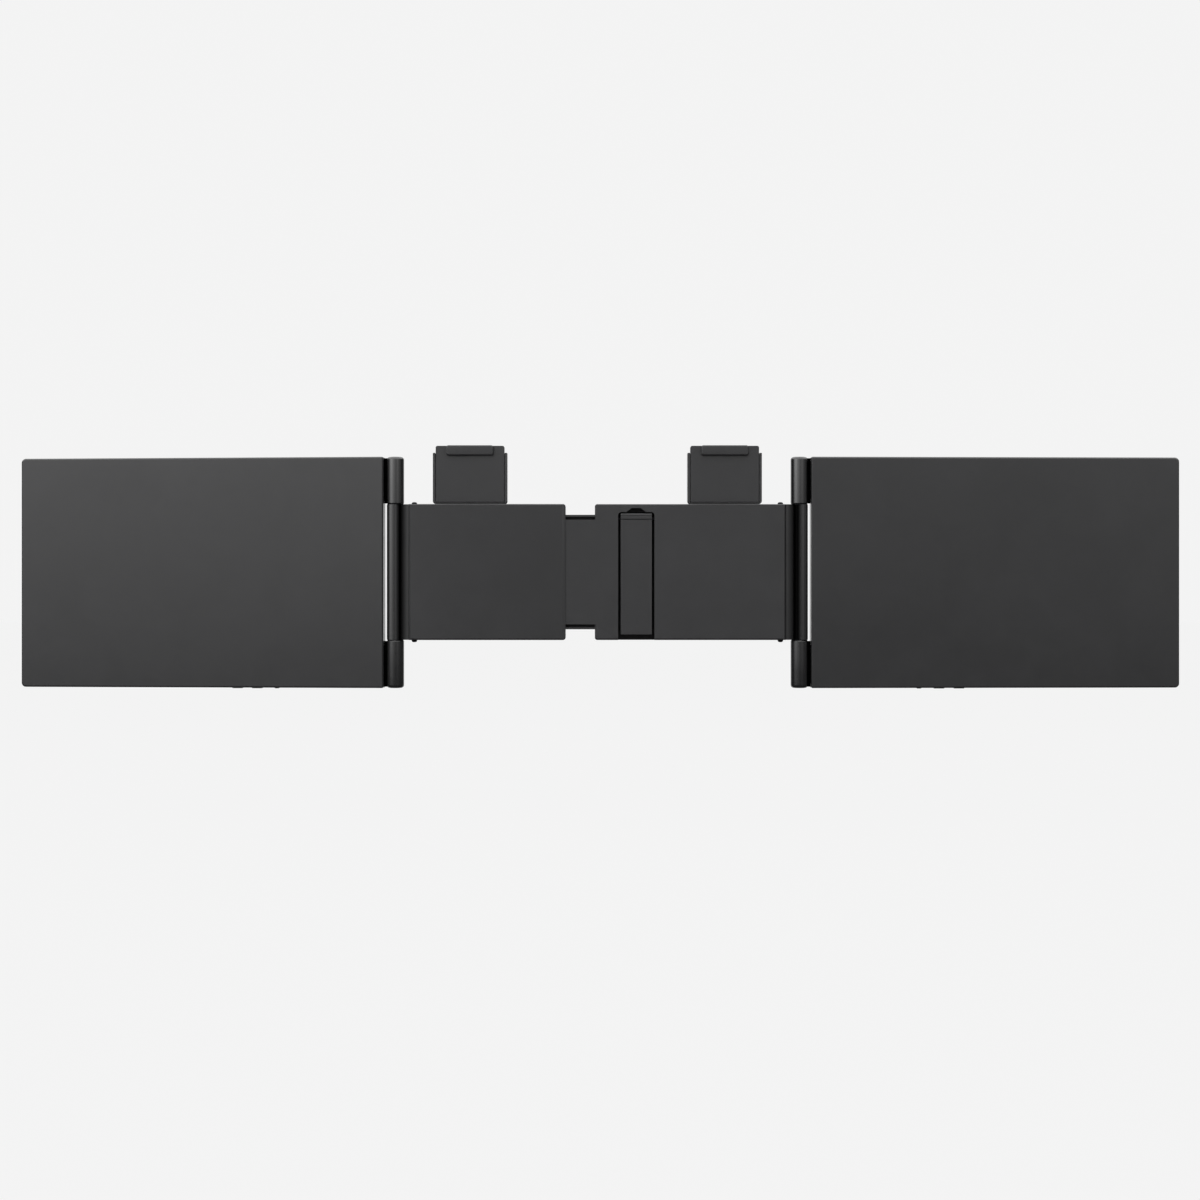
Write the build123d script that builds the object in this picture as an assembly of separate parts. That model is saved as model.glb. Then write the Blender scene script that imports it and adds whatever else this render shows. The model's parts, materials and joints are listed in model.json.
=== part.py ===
from build123d import *
import os

# Laptop screen extender: two portable displays on a telescoping centre bracket that hangs on a
# laptop's lid by two sprung clips.  Millimetres.  +X runs along the bracket, +Y points forward,
# to where the displays face, and +Z up.  The origin is the centre of the double hinge, on the
# face of the pads that rest against the back of the laptop's lid.
# Pieces of the left half are modelled on the +X side and mirrored in the YZ plane.

# ---- bracket: layers through its thickness -------------------------------------------------------
pad_t = 1.0            # soft pad against the lid
cover_t = 2.2          # front cover of each arm
right_t = 12.0         # right arm, from the lid to its rear face
sleeve_skin = 1.3      # rear wall of the sleeve over the tongue
slide_gap = 0.2        # clearance of the tongue in the sleeve, per side

# ---- bracket: outline ----------------------------------------------------------------------------
rail_h = 6.65          # rails of the arms above and below the tongue
arm_wall = 1.8         # moulded walls of both arms
arm_skin = 2.0         # rear wall of the right arm
arm_edge = 3.0         # from the link pin's axis to the arm's outer end
arm_corner = 1.6       # rounding of the arms' inner corners
arm_chamfer = 0.7      # edge break round the rear faces
right_start = -1.6     # inner end of the right arm
open_gap = 18.9        # gap between the two arms as stored
shut_gap = 0.4         # gap that is left when the slide is pushed home
slide_out = 41.0       # travel of the slide outwards from the stored position
tongue_half = 36.9     # half height of the tongue
rib_step = 3.2         # from the tongue's edges to its raised face
rib_t = 1.6            # how far that face stands proud of the tongue's edges
groove_w = 1.9         # grooves along both sides of that face
groove_depth = 3.8
tongue_wall = 1.5
tongue_plate_t = 1.5
mouth_bevel = 2.2      # bevel on the sleeve's mouth
mouth_drop = 0.9
liner_length = 40.0
liner_inset = 1.0
stop_r = 2.7           # shoulder screw that ends the slide's travel
stop_inset = 5.0       # from the tongue's end to that screw
screw_r = 1.0
screw_head_r = 1.9
screw_head_t = 1.0
screw_length = 6.0
boss_r = 2.6
screw_inset = 6.2      # screws and bosses, from the arm's ends
pad_inset = 0.8
stiffener_t = 1.2
stiffener_h = 1.6

# ---- double hinge at each end --------------------------------------------------------------------
pin_x = 118.3          # axis of the link pin in the arm
link_length = 12.2     # from the link pin to the screen's own hinge axis
knuckle_r = 5.55
ear_t = 2.7            # lugs that hold the link pin
ear_r = 2.9
ear_gap = 0.2          # between a lug and the link
eye_r = 3.2            # eye of the link round its pin
eye_wall_gap = 0.3
pin_r = 1.3
pin_head_r = 1.8       # domed heads of the link pin, above and below the arm
pin_head_h = 1.5
pin_dome = 1.2
running_gap = 0.05     # radial clearance of every pivot
knuckle_gap = 0.5      # from the link's knuckle to each barrel, which holds a friction washer
washer_t = 0.4
washer_r = 5.2
shaft_r = 2.0
shaft_end = 3.9        # closed end of each barrel past the shaft
neck_rear = 0.3        # how far the neck lies under the arm's rear face
neck_flat = 0.4
neck_round = 5.0       # rounding of the neck down to the knuckle
toe_left = 4.6         # resting angles of the screens, outer edges forward of the bracket
toe_right = 1.8

# ---- screens -------------------------------------------------------------------------------------
screen_t = 8.0
screen_drop = 0.2      # centre of the screens under the centre of the bracket
case_gap = 7.35        # from the hinge axis to the edge of the case
case_corner = 2.8      # corners of the case away from the bracket
hinge_corner = 1.0     # corners beside the barrels
least_corner = 0.6
side_border = 11.3     # from the visible display to the case's sides
top_border = 5.0
chin = 8.65            # the border below it, over the sockets and buttons
case_chamfer = 0.8
case_wall = 1.6
case_skin = 1.5
bezel_t = 1.2
view_w = 217.0
view_h = 135.6
panel_side = 2.0       # edges of the panel under the front frame
panel_end = 1.9
panel_t = 2.6
lip_t = 0.8            # lip of the front frame inside the case
lip_h = 1.0
fit_gap = 0.1
barrel_round = 2.0
barrel_break = 0.4
skirt_near = 0.3       # skirt that closes the gap between a barrel and the case
skirt_far = 0.8
skirt_gap = 0.15
web_t = 2.6            # tab of each barrel inside the case
web_reach = 8.6
web_inset = 2.8
bracket_t = 1.2
bracket_w = 20.0
rib_w = 1.2            # ribs behind the display
rib_from_hinge = 40.0
rib_from_edge = 8.0
bracket_inset = 3.0
post_r = 1.2
web_screw_r = 0.9
web_head_r = 1.8
web_head_t = 0.8
board_w = 88.0
board_h = 34.0
board_t = 1.0
board_gap = 1.6        # from the case's bottom wall to the board
board_start = 24.0     # from the case's hinge edge to the board
port_w = 8.9
port_h = 3.2
port_depth = 6.0
port_wall = 0.35
port_pitch = 13.0
key_w = 7.0
key_t = 2.4
key_proud = 0.5
key_travel = 0.4
key_gap = 0.25
key_flange = 0.8
key_pitch = 13.0

# ---- clips on the top edge -----------------------------------------------------------------------
clip_x = 82.2
guide_half = 23.95
guide_low = 0.2        # gap between the arm's top edge and the guide
guide_h = 33.0
guide_floor = 2.0
guide_wall = 0.8
guide_foot = 1.0       # bottom wall of the guide
guide_t = 8.0
guide_corner = 2.0
guide_lip = 0.75       # lips that hold the slider in
lip_depth = 2.4
clip_gap = 0.25        # clearance of the slider in the guide
clip_seat = 0.2        # slider above the guide's bottom wall
clip_corner = 1.2      # upper corners of the slider
hook_rise = 4.55       # head of the slider above the guide
hook_inset = 1.4       # sides of the hook inside the slider's
hook_t = 2.0
hook_reach = 11.0      # front face of the hook, forward of the pads
hook_lip_t = 2.4
hook_drop = 6.0
grip_t = 1.2
stem_half = 12.0
stem_foot = 3.0
stem_t = 4.6
tab_half = 15.2
tab_h = 6.5
tab_t = 2.4
tab_over = 0.25
spring_r = 1.0
spring_wire = 0.25
spring_turns = 9
spring_slot = 2.2
spring_peg_r = 0.6
spring_length = 20.0

# ---- kickstand in the right arm ------------------------------------------------------------------
stand_x = 25.06
recess_half = 11.7
recess_depth = 7.0
recess_drop = 5.15     # recess under the arm's top edge
recess_corner = 2.1
recess_wall = 1.5
recess_floor = 1.2
scoop_half = 6.4
scoop_flat = 2.9
scoop_rise = 2.6
scoop_depth = 5.0
stand_pivot_drop = 4.7
stand_pivot_depth = 2.5
stand_pin_r = 1.0
stand_pin_seat = 1.3
leg_half = 10.0
leg_short = 3.65       # leg's end above the arm's bottom edge
leg_under = 0.2        # rear face of the leg under the arm's
leg_t = 4.4
leg_skin = 1.4
leg_wall = 1.2
leg_lip = 1.6
leg_lip_t = 0.8
leg_head = 7.4         # solid part of the leg under its pivot
leg_nose = 4.0         # thumb lip above the pivot
leg_nose_t = 2.8
leg_seam = 0.8
nose_line = 0.4        # fine groove across the thumb lip
nose_line_depth = 0.3
nose_line_rise = 2.3
ext_gap = 0.2
ext_t = 1.8
ext_rib = 0.8
ext_rib_half = 5.0
ext_head = 2.0
foot_h = 2.5
foot_proud = 0.3
leaf_t = 0.5
leaf_half = 6.0
leaf_under = 2.4       # leaf spring's tip under the pivot
leaf_curl = 2.0
leaf_ramp = 9.5
leaf_flat = 6.0

# ---- places worked out from the sizes above ------------------------------------------------------
arm_half = tongue_half + slide_gap + rail_h
rib_half = tongue_half - rib_step
screen_w = view_w + 2 * side_border
screen_h = view_h + top_border + chin
view_lift = (chin - top_border) / 2
panel_w = view_w + 2 * panel_side
panel_h = view_h + 2 * panel_end
plate_face = -pad_t
cover_y = plate_face - cover_t
right_rear = -right_t
left_rear = right_rear - slide_gap - sleeve_skin
mid_y = -right_t / 2
arm_end = pin_x + arm_edge
cover_end = pin_x - knuckle_r - 0.6
pocket_end = cover_end - arm_wall
left_start = open_gap - right_start
tongue_end = pocket_end - (open_gap - shut_gap) - 0.5
tongue_front = cover_y - slide_gap
tongue_back = right_rear + rib_t
screw_z = arm_half - arm_wall - 1.7
axis_x = pin_x + link_length
knuckle_half = arm_half - 0.1
barrel_start = knuckle_half + knuckle_gap
case_start = axis_x + case_gap
case_cx = case_start + screen_w / 2
case_top = screen_h / 2 - screen_drop
case_low = -screen_h / 2 - screen_drop
case_rear = mid_y - screen_t / 2
case_front = mid_y + screen_t / 2
seam_y = case_front - bezel_t
case_floor = case_rear + case_skin
bracket_y = case_floor + bracket_t
web_y = bracket_y + web_t
board_y = case_floor + 0.3
board_face = board_y + board_t
port_y = board_face + port_h / 2
guide_z0 = arm_half + guide_low
guide_z1 = guide_z0 + guide_h
guide_y0 = plate_face - guide_t
guide_y1 = plate_face
floor_y = guide_y1 - guide_floor
clip_top = guide_z1 + hook_rise
lip_y = guide_y0 + lip_depth
slider_half = guide_half - guide_wall - guide_lip - clip_gap
slider_rear = guide_y0 + 0.2
slider_front = floor_y - clip_gap
hook_half = slider_half - hook_inset
slider_z0 = guide_z0 + guide_foot + clip_seat
stem_back = cover_y - fit_gap - stem_t
stand_y = right_rear + stand_pivot_depth
recess_top = arm_half - recess_drop
stand_pivot_z = recess_top - stand_pivot_drop
leg_low = leg_short - arm_half
leg_rear = right_rear + leg_under
leg_front = leg_rear + leg_t
leg_floor = leg_rear + leg_skin
recess_y = right_rear + recess_depth
channel_top = stand_pivot_z - leg_head
ext_y0 = leg_floor + ext_gap
ext_y1 = ext_y0 + ext_t


# ---- drawing helpers -----------------------------------------------------------------------------
def block(x, y, z):
    """A box between pairs of limits along X, Y and Z."""
    centre = Pos((x[0] + x[1]) / 2, (y[0] + y[1]) / 2, (z[0] + z[1]) / 2)
    return centre * Box(x[1] - x[0], y[1] - y[0], z[1] - z[0])


def plate(outline, y):
    """An outline drawn in X and Z, filled between two values of Y."""
    return extrude(Plane.XZ.offset(-y[1]) * outline, amount=y[1] - y[0], dir=(0, -1, 0))


def column(outline, z):
    """An outline drawn in X and Y, filled between two heights."""
    return extrude(Pos(0, 0, z[0]) * outline, amount=z[1] - z[0], dir=(0, 0, 1))


def beam(outline, x):
    """An outline drawn in Y and Z, filled between two values of X."""
    return extrude(Plane.YZ.offset(x[0]) * outline, amount=x[1] - x[0], dir=(1, 0, 0))


def rod_x(y, z, radius, x):
    return beam(Pos(y, z) * Circle(radius), x)


def rod_y(x, z, radius, y):
    return plate(Pos(x, z) * Circle(radius), y)


def rod_z(x, y, radius, z):
    return column(Pos(x, y) * Circle(radius), z)


def limits(low, high, inset=0.0):
    """A rectangle between two corners, less an inset all round."""
    width = high[0] - low[0] - 2 * inset
    height = high[1] - low[1] - 2 * inset
    return Pos((low[0] + high[0]) / 2, (low[1] + high[1]) / 2) * Rectangle(width, height)


def group(solids):
    """Several solids that stay apart but belong to one piece."""
    return solids[0] + solids[1:]


def both_z(solid):
    """The solid and its mirror image in the bracket's mid-height."""
    return solid + mirror(solid, about=Plane.XY)


# ---- arms of the bracket -------------------------------------------------------------------------
def arm_outline(start):
    """Front view of an arm: round corners at its inner end, square at the hinge."""
    outline = limits((start, -arm_half), (arm_end, arm_half))
    return fillet(outline.vertices().group_by(Axis.X)[0], arm_corner)


def hinge_end(shell):
    """Cuts the arm's outer end back to a rear lip and the two lugs that hold the link pin."""
    eye_half = arm_half - ear_t
    eye_floor = mid_y - eye_r - eye_wall_gap
    lug_face = mid_y + ear_r
    shell -= block((cover_end, arm_end), (lug_face, plate_face), (-arm_half, arm_half))
    shell -= block((cover_end, arm_end), (eye_floor, plate_face), (-eye_half, eye_half))
    corner = block((pin_x, arm_end), (eye_floor, plate_face), (-arm_half, arm_half))
    shell -= corner - rod_z(pin_x, mid_y, ear_r, (-arm_half, arm_half))
    return shell - rod_z(pin_x, mid_y, pin_r, (-arm_half, arm_half))


def stem_slot():
    """Opening in the arm's top wall for the neck of a clip guide, open to the front."""
    half = stem_half + fit_gap
    top = (arm_half - arm_wall - fit_gap, arm_half)
    return block((clip_x - half, clip_x + half), (stem_back - fit_gap, cover_y), top)


def screw_places(start):
    """Where the four screws of an arm's front cover are, in X and Z."""
    ends = (start + screw_inset, pocket_end - screw_inset + arm_wall)
    return [(x, z) for x in ends for z in (-screw_z, screw_z)]


def screw_bosses(start, back):
    """Bosses of an arm's rear shell and the pilot holes in them."""
    bosses = [rod_y(x, z, boss_r, (back, cover_y)) for x, z in screw_places(start)]
    pilots = [rod_y(x, z, screw_r, (plate_face - screw_length, cover_y)) for x, z in screw_places(start)]
    return bosses, pilots


def right_shell_body():
    """Moulded rear half of the right arm, open at the front, before its fittings."""
    body = plate(arm_outline(right_start), (right_rear, cover_y))
    body = chamfer(body.faces().sort_by(Axis.Y)[0].edges(), arm_chamfer)
    inner = limits((right_start + arm_wall, arm_wall - arm_half), (pocket_end, arm_half - arm_wall))
    body -= plate(inner, (right_rear + arm_skin, cover_y))
    stiffeners = [block((right_start + 1, pocket_end + 1),
                        (right_rear + 1, right_rear + arm_skin + stiffener_h),
                        (z - stiffener_t / 2, z + stiffener_t / 2)) for z in (-arm_half / 2.6, arm_half / 2.6)]
    bosses, pilots = screw_bosses(right_start, right_rear + 1)
    return body + stiffeners + bosses - pilots


def kickstand_recess(shell):
    """Adds the kickstand's housing and cuts its recess, thumb scoop and pin holes."""
    low, high = stand_x - recess_half, stand_x + recess_half
    housing = block((low - recess_wall, high + recess_wall),
                    (right_rear + arm_chamfer, recess_y + recess_floor), (-arm_half, arm_half - 0.5))
    shell += housing
    recess = limits((low, -arm_half - 1), (high, recess_top))
    recess = fillet(recess.vertices().group_by(Axis.Y)[-1], recess_corner)
    shell -= plate(recess, (right_rear, recess_y))
    scoop = Polygon((stand_x - scoop_half, recess_top - 1), (stand_x + scoop_half, recess_top - 1),
                    (stand_x + scoop_half, recess_top), (stand_x + scoop_flat, recess_top + scoop_rise),
                    (stand_x - scoop_flat, recess_top + scoop_rise), (stand_x - scoop_half, recess_top),
                    align=None)
    shell -= plate(scoop, (right_rear, right_rear + scoop_depth))
    return shell - stand_pin()


def tongue():
    """Rear half of the tongue: a channel with a raised face between two grooves."""
    reach = (-tongue_end, right_start + 1)
    groove_y = right_rear + groove_depth
    back = block(reach, (right_rear, groove_y + tongue_wall), (-rib_half, rib_half))
    sides = block(reach, (tongue_back, tongue_front - tongue_plate_t), (-tongue_half, tongue_half))
    groove = block(reach, (tongue_back, groove_y), (rib_half, rib_half + groove_w))
    length = (tongue_wall - tongue_end, right_start - tongue_wall)
    shallow = rib_half - tongue_wall
    deep = tongue_half - tongue_wall
    hollow = block(length, (tongue_back + tongue_wall, tongue_front), (-shallow, shallow))
    hollow += block(length, (groove_y + tongue_wall, tongue_front), (-deep, deep))
    return back + (sides - both_z(groove)) - hollow


def right_rear_shell():
    shell = kickstand_recess(right_shell_body())
    shell = hinge_end(shell)
    return shell - stem_slot() + tongue()


def left_rear_shell():
    """Sleeve over the tongue: rails above and below, a thin rear wall and an open mouth."""
    body = plate(arm_outline(left_start), (left_rear, cover_y))
    body = chamfer(body.faces().sort_by(Axis.Y)[0].edges(), arm_chamfer)
    bore_half = tongue_half + slide_gap
    body -= block((left_start, pocket_end), (right_rear - slide_gap, cover_y),
                  (-bore_half, bore_half))
    bevel = Polygon((left_start, left_rear), (left_start + mouth_bevel, left_rear),
                    (left_start, left_rear + mouth_drop), align=None)
    body -= column(bevel, (-arm_half, arm_half))
    rail = block((left_start + arm_wall, pocket_end), (right_rear - slide_gap, cover_y),
                 (bore_half + tongue_wall, arm_half - arm_wall))
    places = screw_places(left_start)
    bosses = [rod_y(x, z, boss_r, (left_rear, cover_y)) for x, z in places if z > 0]
    body -= both_z(rail - bosses)
    _, pilots = screw_bosses(left_start, left_rear)
    body = hinge_end(body - pilots)
    return body - stem_slot()


def slide_liners():
    """Low-friction strips in the sleeve, beside the raised face of the tongue."""
    start = left_start + liner_inset
    strip = block((start, start + liner_length), (right_rear - slide_gap, tongue_back - slide_gap),
                  (rib_half + slide_gap, tongue_half + slide_gap))
    return both_z(strip)


def front_cover(start, slot=None):
    """Front cover of an arm with countersunk holes for its four screws."""
    outline = limits((start, -arm_half), (cover_end, arm_half))
    outline = fillet(outline.vertices().group_by(Axis.X)[0], arm_corner)
    cover = plate(outline, (cover_y, plate_face))
    for x, z in screw_places(start):
        cover -= rod_y(x, z, screw_r, (cover_y, plate_face))
        cover -= rod_y(x, z, screw_head_r, (plate_face - screw_head_t, plate_face))
    return cover - slot if slot else cover


def stop_slot():
    """Slot in the sleeve's cover: its two ends stop the shoulder screw."""
    centre = tongue_end - stop_inset
    half = stop_r + 0.3
    outline = limits((centre - slide_out - half, -half), (centre + open_gap - shut_gap + half, half))
    outline = fillet(outline.vertices(), half - 0.01)
    return plate(outline, (cover_y, plate_face))


def stop_screw():
    """Shoulder screw in the tongue's cover."""
    x = stop_inset - tongue_end
    shoulder = rod_y(x, 0, stop_r, (tongue_front, plate_face - 0.3))
    socket = plate(Pos(x, 0) * RegularPolygon(1.1, 6), (plate_face - 1.5, plate_face - 0.3))
    thread = rod_y(x, 0, screw_r, (tongue_front - tongue_plate_t - 1.0, tongue_front))
    return shoulder - socket + thread


def tongue_cover():
    cover = block((-tongue_end, right_start), (tongue_front - tongue_plate_t, tongue_front),
                  (-tongue_half, tongue_half))
    hole = rod_y(stop_inset - tongue_end, 0, screw_r, (tongue_front - tongue_plate_t, tongue_front))
    return cover - hole


def lid_pad(start):
    outline = limits((start, -arm_half), (cover_end, arm_half), pad_inset)
    return plate(fillet(outline.vertices(), arm_corner), (plate_face, 0))


def cover_screws(start):
    screws = []
    for x, z in screw_places(start):
        head = rod_y(x, z, screw_head_r - running_gap, (plate_face - screw_head_t, plate_face))
        head -= plate(Pos(x, z) * RegularPolygon(0.8, 6), (plate_face - 0.6, plate_face))
        shank = rod_y(x, z, screw_r, (plate_face - screw_length, plate_face - screw_head_t))
        screws.append(head + shank)
    return group(screws)


# ---- double hinge --------------------------------------------------------------------------------
def link_pin():
    """Pin of the link with a domed rivet head at each end."""
    head = rod_z(pin_x, mid_y, pin_head_r, (arm_half, arm_half + pin_head_h))
    head = fillet(head.edges().filter_by(GeomType.CIRCLE).sort_by(Axis.Z)[-1], pin_dome)
    return rod_z(pin_x, mid_y, pin_r, (-arm_half, arm_half)) + both_z(head)


def neck_outline():
    """Plan of the link between the arm's end and its knuckle."""
    start = arm_end + ear_gap
    rear = right_rear + neck_rear
    front = mid_y + eye_r
    bend = start + neck_flat
    middle = neck_round * 0.5 ** 0.5
    return make_face(
        Polyline((bend + neck_round, rear + neck_round), (axis_x, mid_y),
                 (axis_x - knuckle_r / 2, front), (start, front), (start, rear), (bend, rear))
        + ThreePointArc((bend, rear), (bend + middle, rear + neck_round - middle),
                        (bend + neck_round, rear + neck_round)))


def hinge_link():
    """Short link between two vertical axes: an eye on the arm's pin and the screens' knuckle."""
    full = (-knuckle_half, knuckle_half)
    eye_half = arm_half - ear_t - ear_gap
    knuckle = rod_z(axis_x, mid_y, knuckle_r, full)
    knuckle = chamfer(knuckle.edges().filter_by(GeomType.CIRCLE), barrel_break)
    neck = column(neck_outline(), full)
    eye = rod_z(pin_x, mid_y, eye_r, (-eye_half, eye_half))
    eye += block((pin_x, arm_end + 1), (mid_y - eye_r, mid_y + eye_r), (-eye_half, eye_half))
    link = knuckle + neck + eye
    link -= rod_z(pin_x, mid_y, pin_r + running_gap, full)
    return link - rod_z(axis_x, mid_y, shaft_r, full)


def hinge_shaft():
    shaft = rod_z(axis_x, mid_y, shaft_r, (case_low + shaft_end, case_top - shaft_end))
    return chamfer(shaft.edges().filter_by(GeomType.CIRCLE), 0.3)


def friction_washers():
    ring = Pos(axis_x, mid_y) * (Circle(washer_r) - Circle(shaft_r))
    start = knuckle_half + (knuckle_gap - washer_t) / 2
    upper = column(ring, (start, start + washer_t))
    return both_z(upper)


def barrel(near, far):
    """Barrel on the screen's edge with the tab that holds it in the case."""
    low, high = min(near, far), max(near, far)
    body = rod_z(axis_x, mid_y, knuckle_r, (low, high))
    rims = body.edges().filter_by(GeomType.CIRCLE).sort_by(Axis.Z)
    outer, inner = (rims[-1], rims[0]) if far > near else (rims[0], rims[-1])
    body = fillet(outer, barrel_round)
    inner = body.edges().filter_by(GeomType.CIRCLE).filter_by_position(Axis.Z, near - 0.01, near + 0.01)
    body = chamfer(inner, barrel_break)
    web = block((axis_x, case_start + web_reach), (bracket_y, web_y), (low + web_inset, high - web_inset))
    under, over = (skirt_near, skirt_far) if far > near else (skirt_far, skirt_near)
    web += block((axis_x, case_start - skirt_gap), (bracket_y, web_y), (low + under, high - over))
    blind = far - shaft_end + 0.3 if far > near else far + shaft_end - 0.3
    bore = rod_z(axis_x, mid_y, shaft_r + running_gap, (min(near, blind), max(near, blind)))
    body = body + web - bore
    for z in web_screw_heights(low, high):
        body -= rod_y(web_screw_x(), z, web_screw_r, (bracket_y, web_y))
    return body


def web_screw_x():
    return case_start + web_reach - web_head_r - 0.8


def web_screw_heights(low, high):
    """Two screws through each barrel's tab."""
    return (low + web_inset + 4, high - web_inset - 4)


def all_web_screws():
    upper = web_screw_heights(barrel_start, case_top)
    lower = web_screw_heights(case_low, -barrel_start)
    return upper + lower


# ---- screens, drawn straight out from the bracket ------------------------------------------------
def case_outline(inset=0.0):
    """Front view of the case, with tighter corners beside the barrels."""
    outline = limits((case_start, case_low), (case_start + screen_w, case_top), inset)
    outline = fillet(outline.vertices().group_by(Axis.X)[-1], max(case_corner - inset, least_corner))
    return fillet(outline.vertices().group_by(Axis.X)[0], max(hinge_corner - inset, least_corner))


def key_places():
    """Power, plus and minus keys along the bottom edge."""
    first = port_places()[-1] + 1.9 * port_pitch
    return [first + i * key_pitch for i in range(3)]


def port_places():
    first = case_start + board_start + port_w
    return [first, first + port_pitch]


def key_outline(index, grow=0.0):
    """Plan of a key cap: the power key is round and the other two are long."""
    spot = Pos(key_places()[index], port_y)
    if index == 0:
        return spot * Circle(key_t / 2 + 0.3 + grow)
    return spot * SlotOverall(key_w + 2 * grow, key_t + 2 * grow)


def post_places():
    """Heat stakes that hold the hinge bracket down."""
    x = case_start + case_wall + bracket_w - 2 * post_r
    return [(x, z) for z in (-screen_h * 0.4, -screen_h * 0.14, screen_h * 0.14, screen_h * 0.4)]


def rear_cover():
    """Tray of the screen: rear skin, side walls, ribs, stakes and the openings in its edges."""
    body = plate(case_outline(), (case_rear, seam_y))
    body = chamfer(body.faces().sort_by(Axis.Y)[0].edges(), case_chamfer)
    body -= plate(case_outline(case_wall), (case_floor, seam_y))
    rib_top = mid_panel_rear()
    depth = (case_rear + 1, rib_top)
    along = (case_start + rib_from_hinge, case_start + screen_w - rib_from_edge)
    ribs = [block(along, depth, (z, z + rib_w)) for z in (-screen_h * 0.18, screen_h * 0.08, screen_h * 0.34)]
    ribs += [block((x, x + rib_w), depth, (-screen_h * 0.18, screen_h * 0.45))
             for x in (case_start + screen_w * 0.45, case_start + screen_w * 0.75)]
    stakes = [rod_y(x, z, post_r, (case_rear + 1, bracket_y + 0.4)) for x, z in post_places()]
    body = body + ribs + stakes
    for low, high in ((barrel_start, case_top), (case_low, -barrel_start)):
        gap = (low + web_inset - fit_gap, high - web_inset + fit_gap)
        body -= block((case_start - 1, case_start + case_wall), (bracket_y - fit_gap, web_y + fit_gap), gap)
    for x in port_places():
        body -= column(Pos(x, port_y) * RectangleRounded(port_w + 0.2, port_h + 0.2, 1.5),
                       (case_low, case_low + case_wall))
    for index in range(3):
        body -= column(key_outline(index, key_gap), (case_low, case_low + case_wall))
    return body


def mid_panel_rear():
    return seam_y - panel_t


def display_panel():
    """Liquid-crystal panel with its light guide and folded metal back."""
    centre = Pos(case_cx, -screen_drop + view_lift)
    back = plate(centre * Rectangle(panel_w, panel_h), (seam_y - panel_t, seam_y - 0.9))
    glass = plate(centre * Rectangle(panel_w - 1.2, panel_h - 1.2), (seam_y - 0.9, seam_y))
    return back + glass


def bezel():
    """Front frame with the display's window and a lip that locates it in the case."""
    frame = plate(case_outline(), (seam_y, case_front))
    frame = chamfer(frame.faces().sort_by(Axis.Y)[-1].edges(), 0.4)
    window = Pos(case_cx, -screen_drop + view_lift) * RectangleRounded(view_w, view_h, 0.6)
    frame -= plate(window, (seam_y, case_front))
    lip = case_outline(case_wall + fit_gap) - case_outline(case_wall + fit_gap + lip_t)
    lip = plate(lip, (seam_y - lip_h, seam_y))
    relief = (port_places()[0] - key_w, key_places()[-1] + key_w)
    return frame + (lip - block(relief, (seam_y - lip_h, seam_y), (case_low, case_low + 6)))


def hinge_bracket():
    """Steel plate inside the case that carries the two barrels."""
    x = (case_start + case_wall + fit_gap, case_start + case_wall + bracket_w)
    half = screen_h / 2 - case_wall - bracket_inset
    outline = limits((x[0], -screen_drop - half), (x[1], -screen_drop + half))
    outline = fillet(outline.vertices(), 2.0)
    bracket = plate(outline, (case_floor, bracket_y))
    relief = limits((x[0] + 6, -screen_h * 0.1), (x[1] - 3, screen_h * 0.1))
    bracket -= plate(relief, (case_floor, bracket_y))
    for px, pz in post_places():
        bracket -= rod_y(px, pz, post_r + fit_gap, (case_floor, bracket_y))
    for z in all_web_screws():
        bracket -= rod_y(web_screw_x(), z, web_screw_r, (case_floor, bracket_y))
    return bracket


def bracket_screws():
    screws = []
    for z in all_web_screws():
        head = rod_y(web_screw_x(), z, web_head_r, (web_y, web_y + web_head_t))
        shank = rod_y(web_screw_x(), z, web_screw_r, (case_floor + 0.1, web_y))
        screws.append(head + shank)
    return group(screws)


def driver_board():
    """Circuit board with its controller, power parts, coils and the three tact switches."""
    x0 = case_start + board_start
    z0 = case_low + case_wall + board_gap
    board = plate(limits((x0, z0), (x0 + board_w, z0 + board_h)), (board_y, board_face))
    chips = [(20, 20, 12, 12, 0.9), (44, 22, 8, 8, 0.9), (60, 24, 5, 5, 1.2), (70, 16, 6, 4, 1.0)]
    for dx, dz, w, h, t in chips:
        board += plate(Pos(x0 + dx, z0 + dz) * Rectangle(w, h), (board_face - 0.1, board_face + t))
    flange_top = case_low + case_wall + fit_gap + key_flange
    switch_low = flange_top + key_travel + 0.15
    for x in key_places():
        board += block((x - 1.7, x + 1.7), (board_face - 0.1, board_face + 2.4), (switch_low, switch_low + 2.6))
    return board


def usb_port(x):
    """Type-C receptacle on the board, with its shell, rear wall and contact blade."""
    z = (case_low, case_low + port_depth)
    shell = column(Pos(x, port_y) * RectangleRounded(port_w, port_h, 1.4), z)
    inside = Pos(x, port_y) * RectangleRounded(port_w - 2 * port_wall, port_h - 2 * port_wall, 1.1)
    shell -= column(inside, (z[0], z[1] - 0.8))
    half = port_w * 0.36
    return shell + block((x - half, x + half), (port_y - 0.35, port_y + 0.35), (z[0] + 0.6, z[1]))


def usb_ports():
    return group([usb_port(x) for x in port_places()])


def key(index):
    """Key cap with the inner flange that keeps it in the case."""
    inner = case_low + case_wall + fit_gap
    cap = column(key_outline(index), (case_low - key_proud, inner + 0.2))
    cap = fillet(cap.faces().sort_by(Axis.Z)[0].edges(), 0.25)
    flange = column(key_outline(index, 0.7), (inner, inner + key_flange))
    return cap + flange


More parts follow.
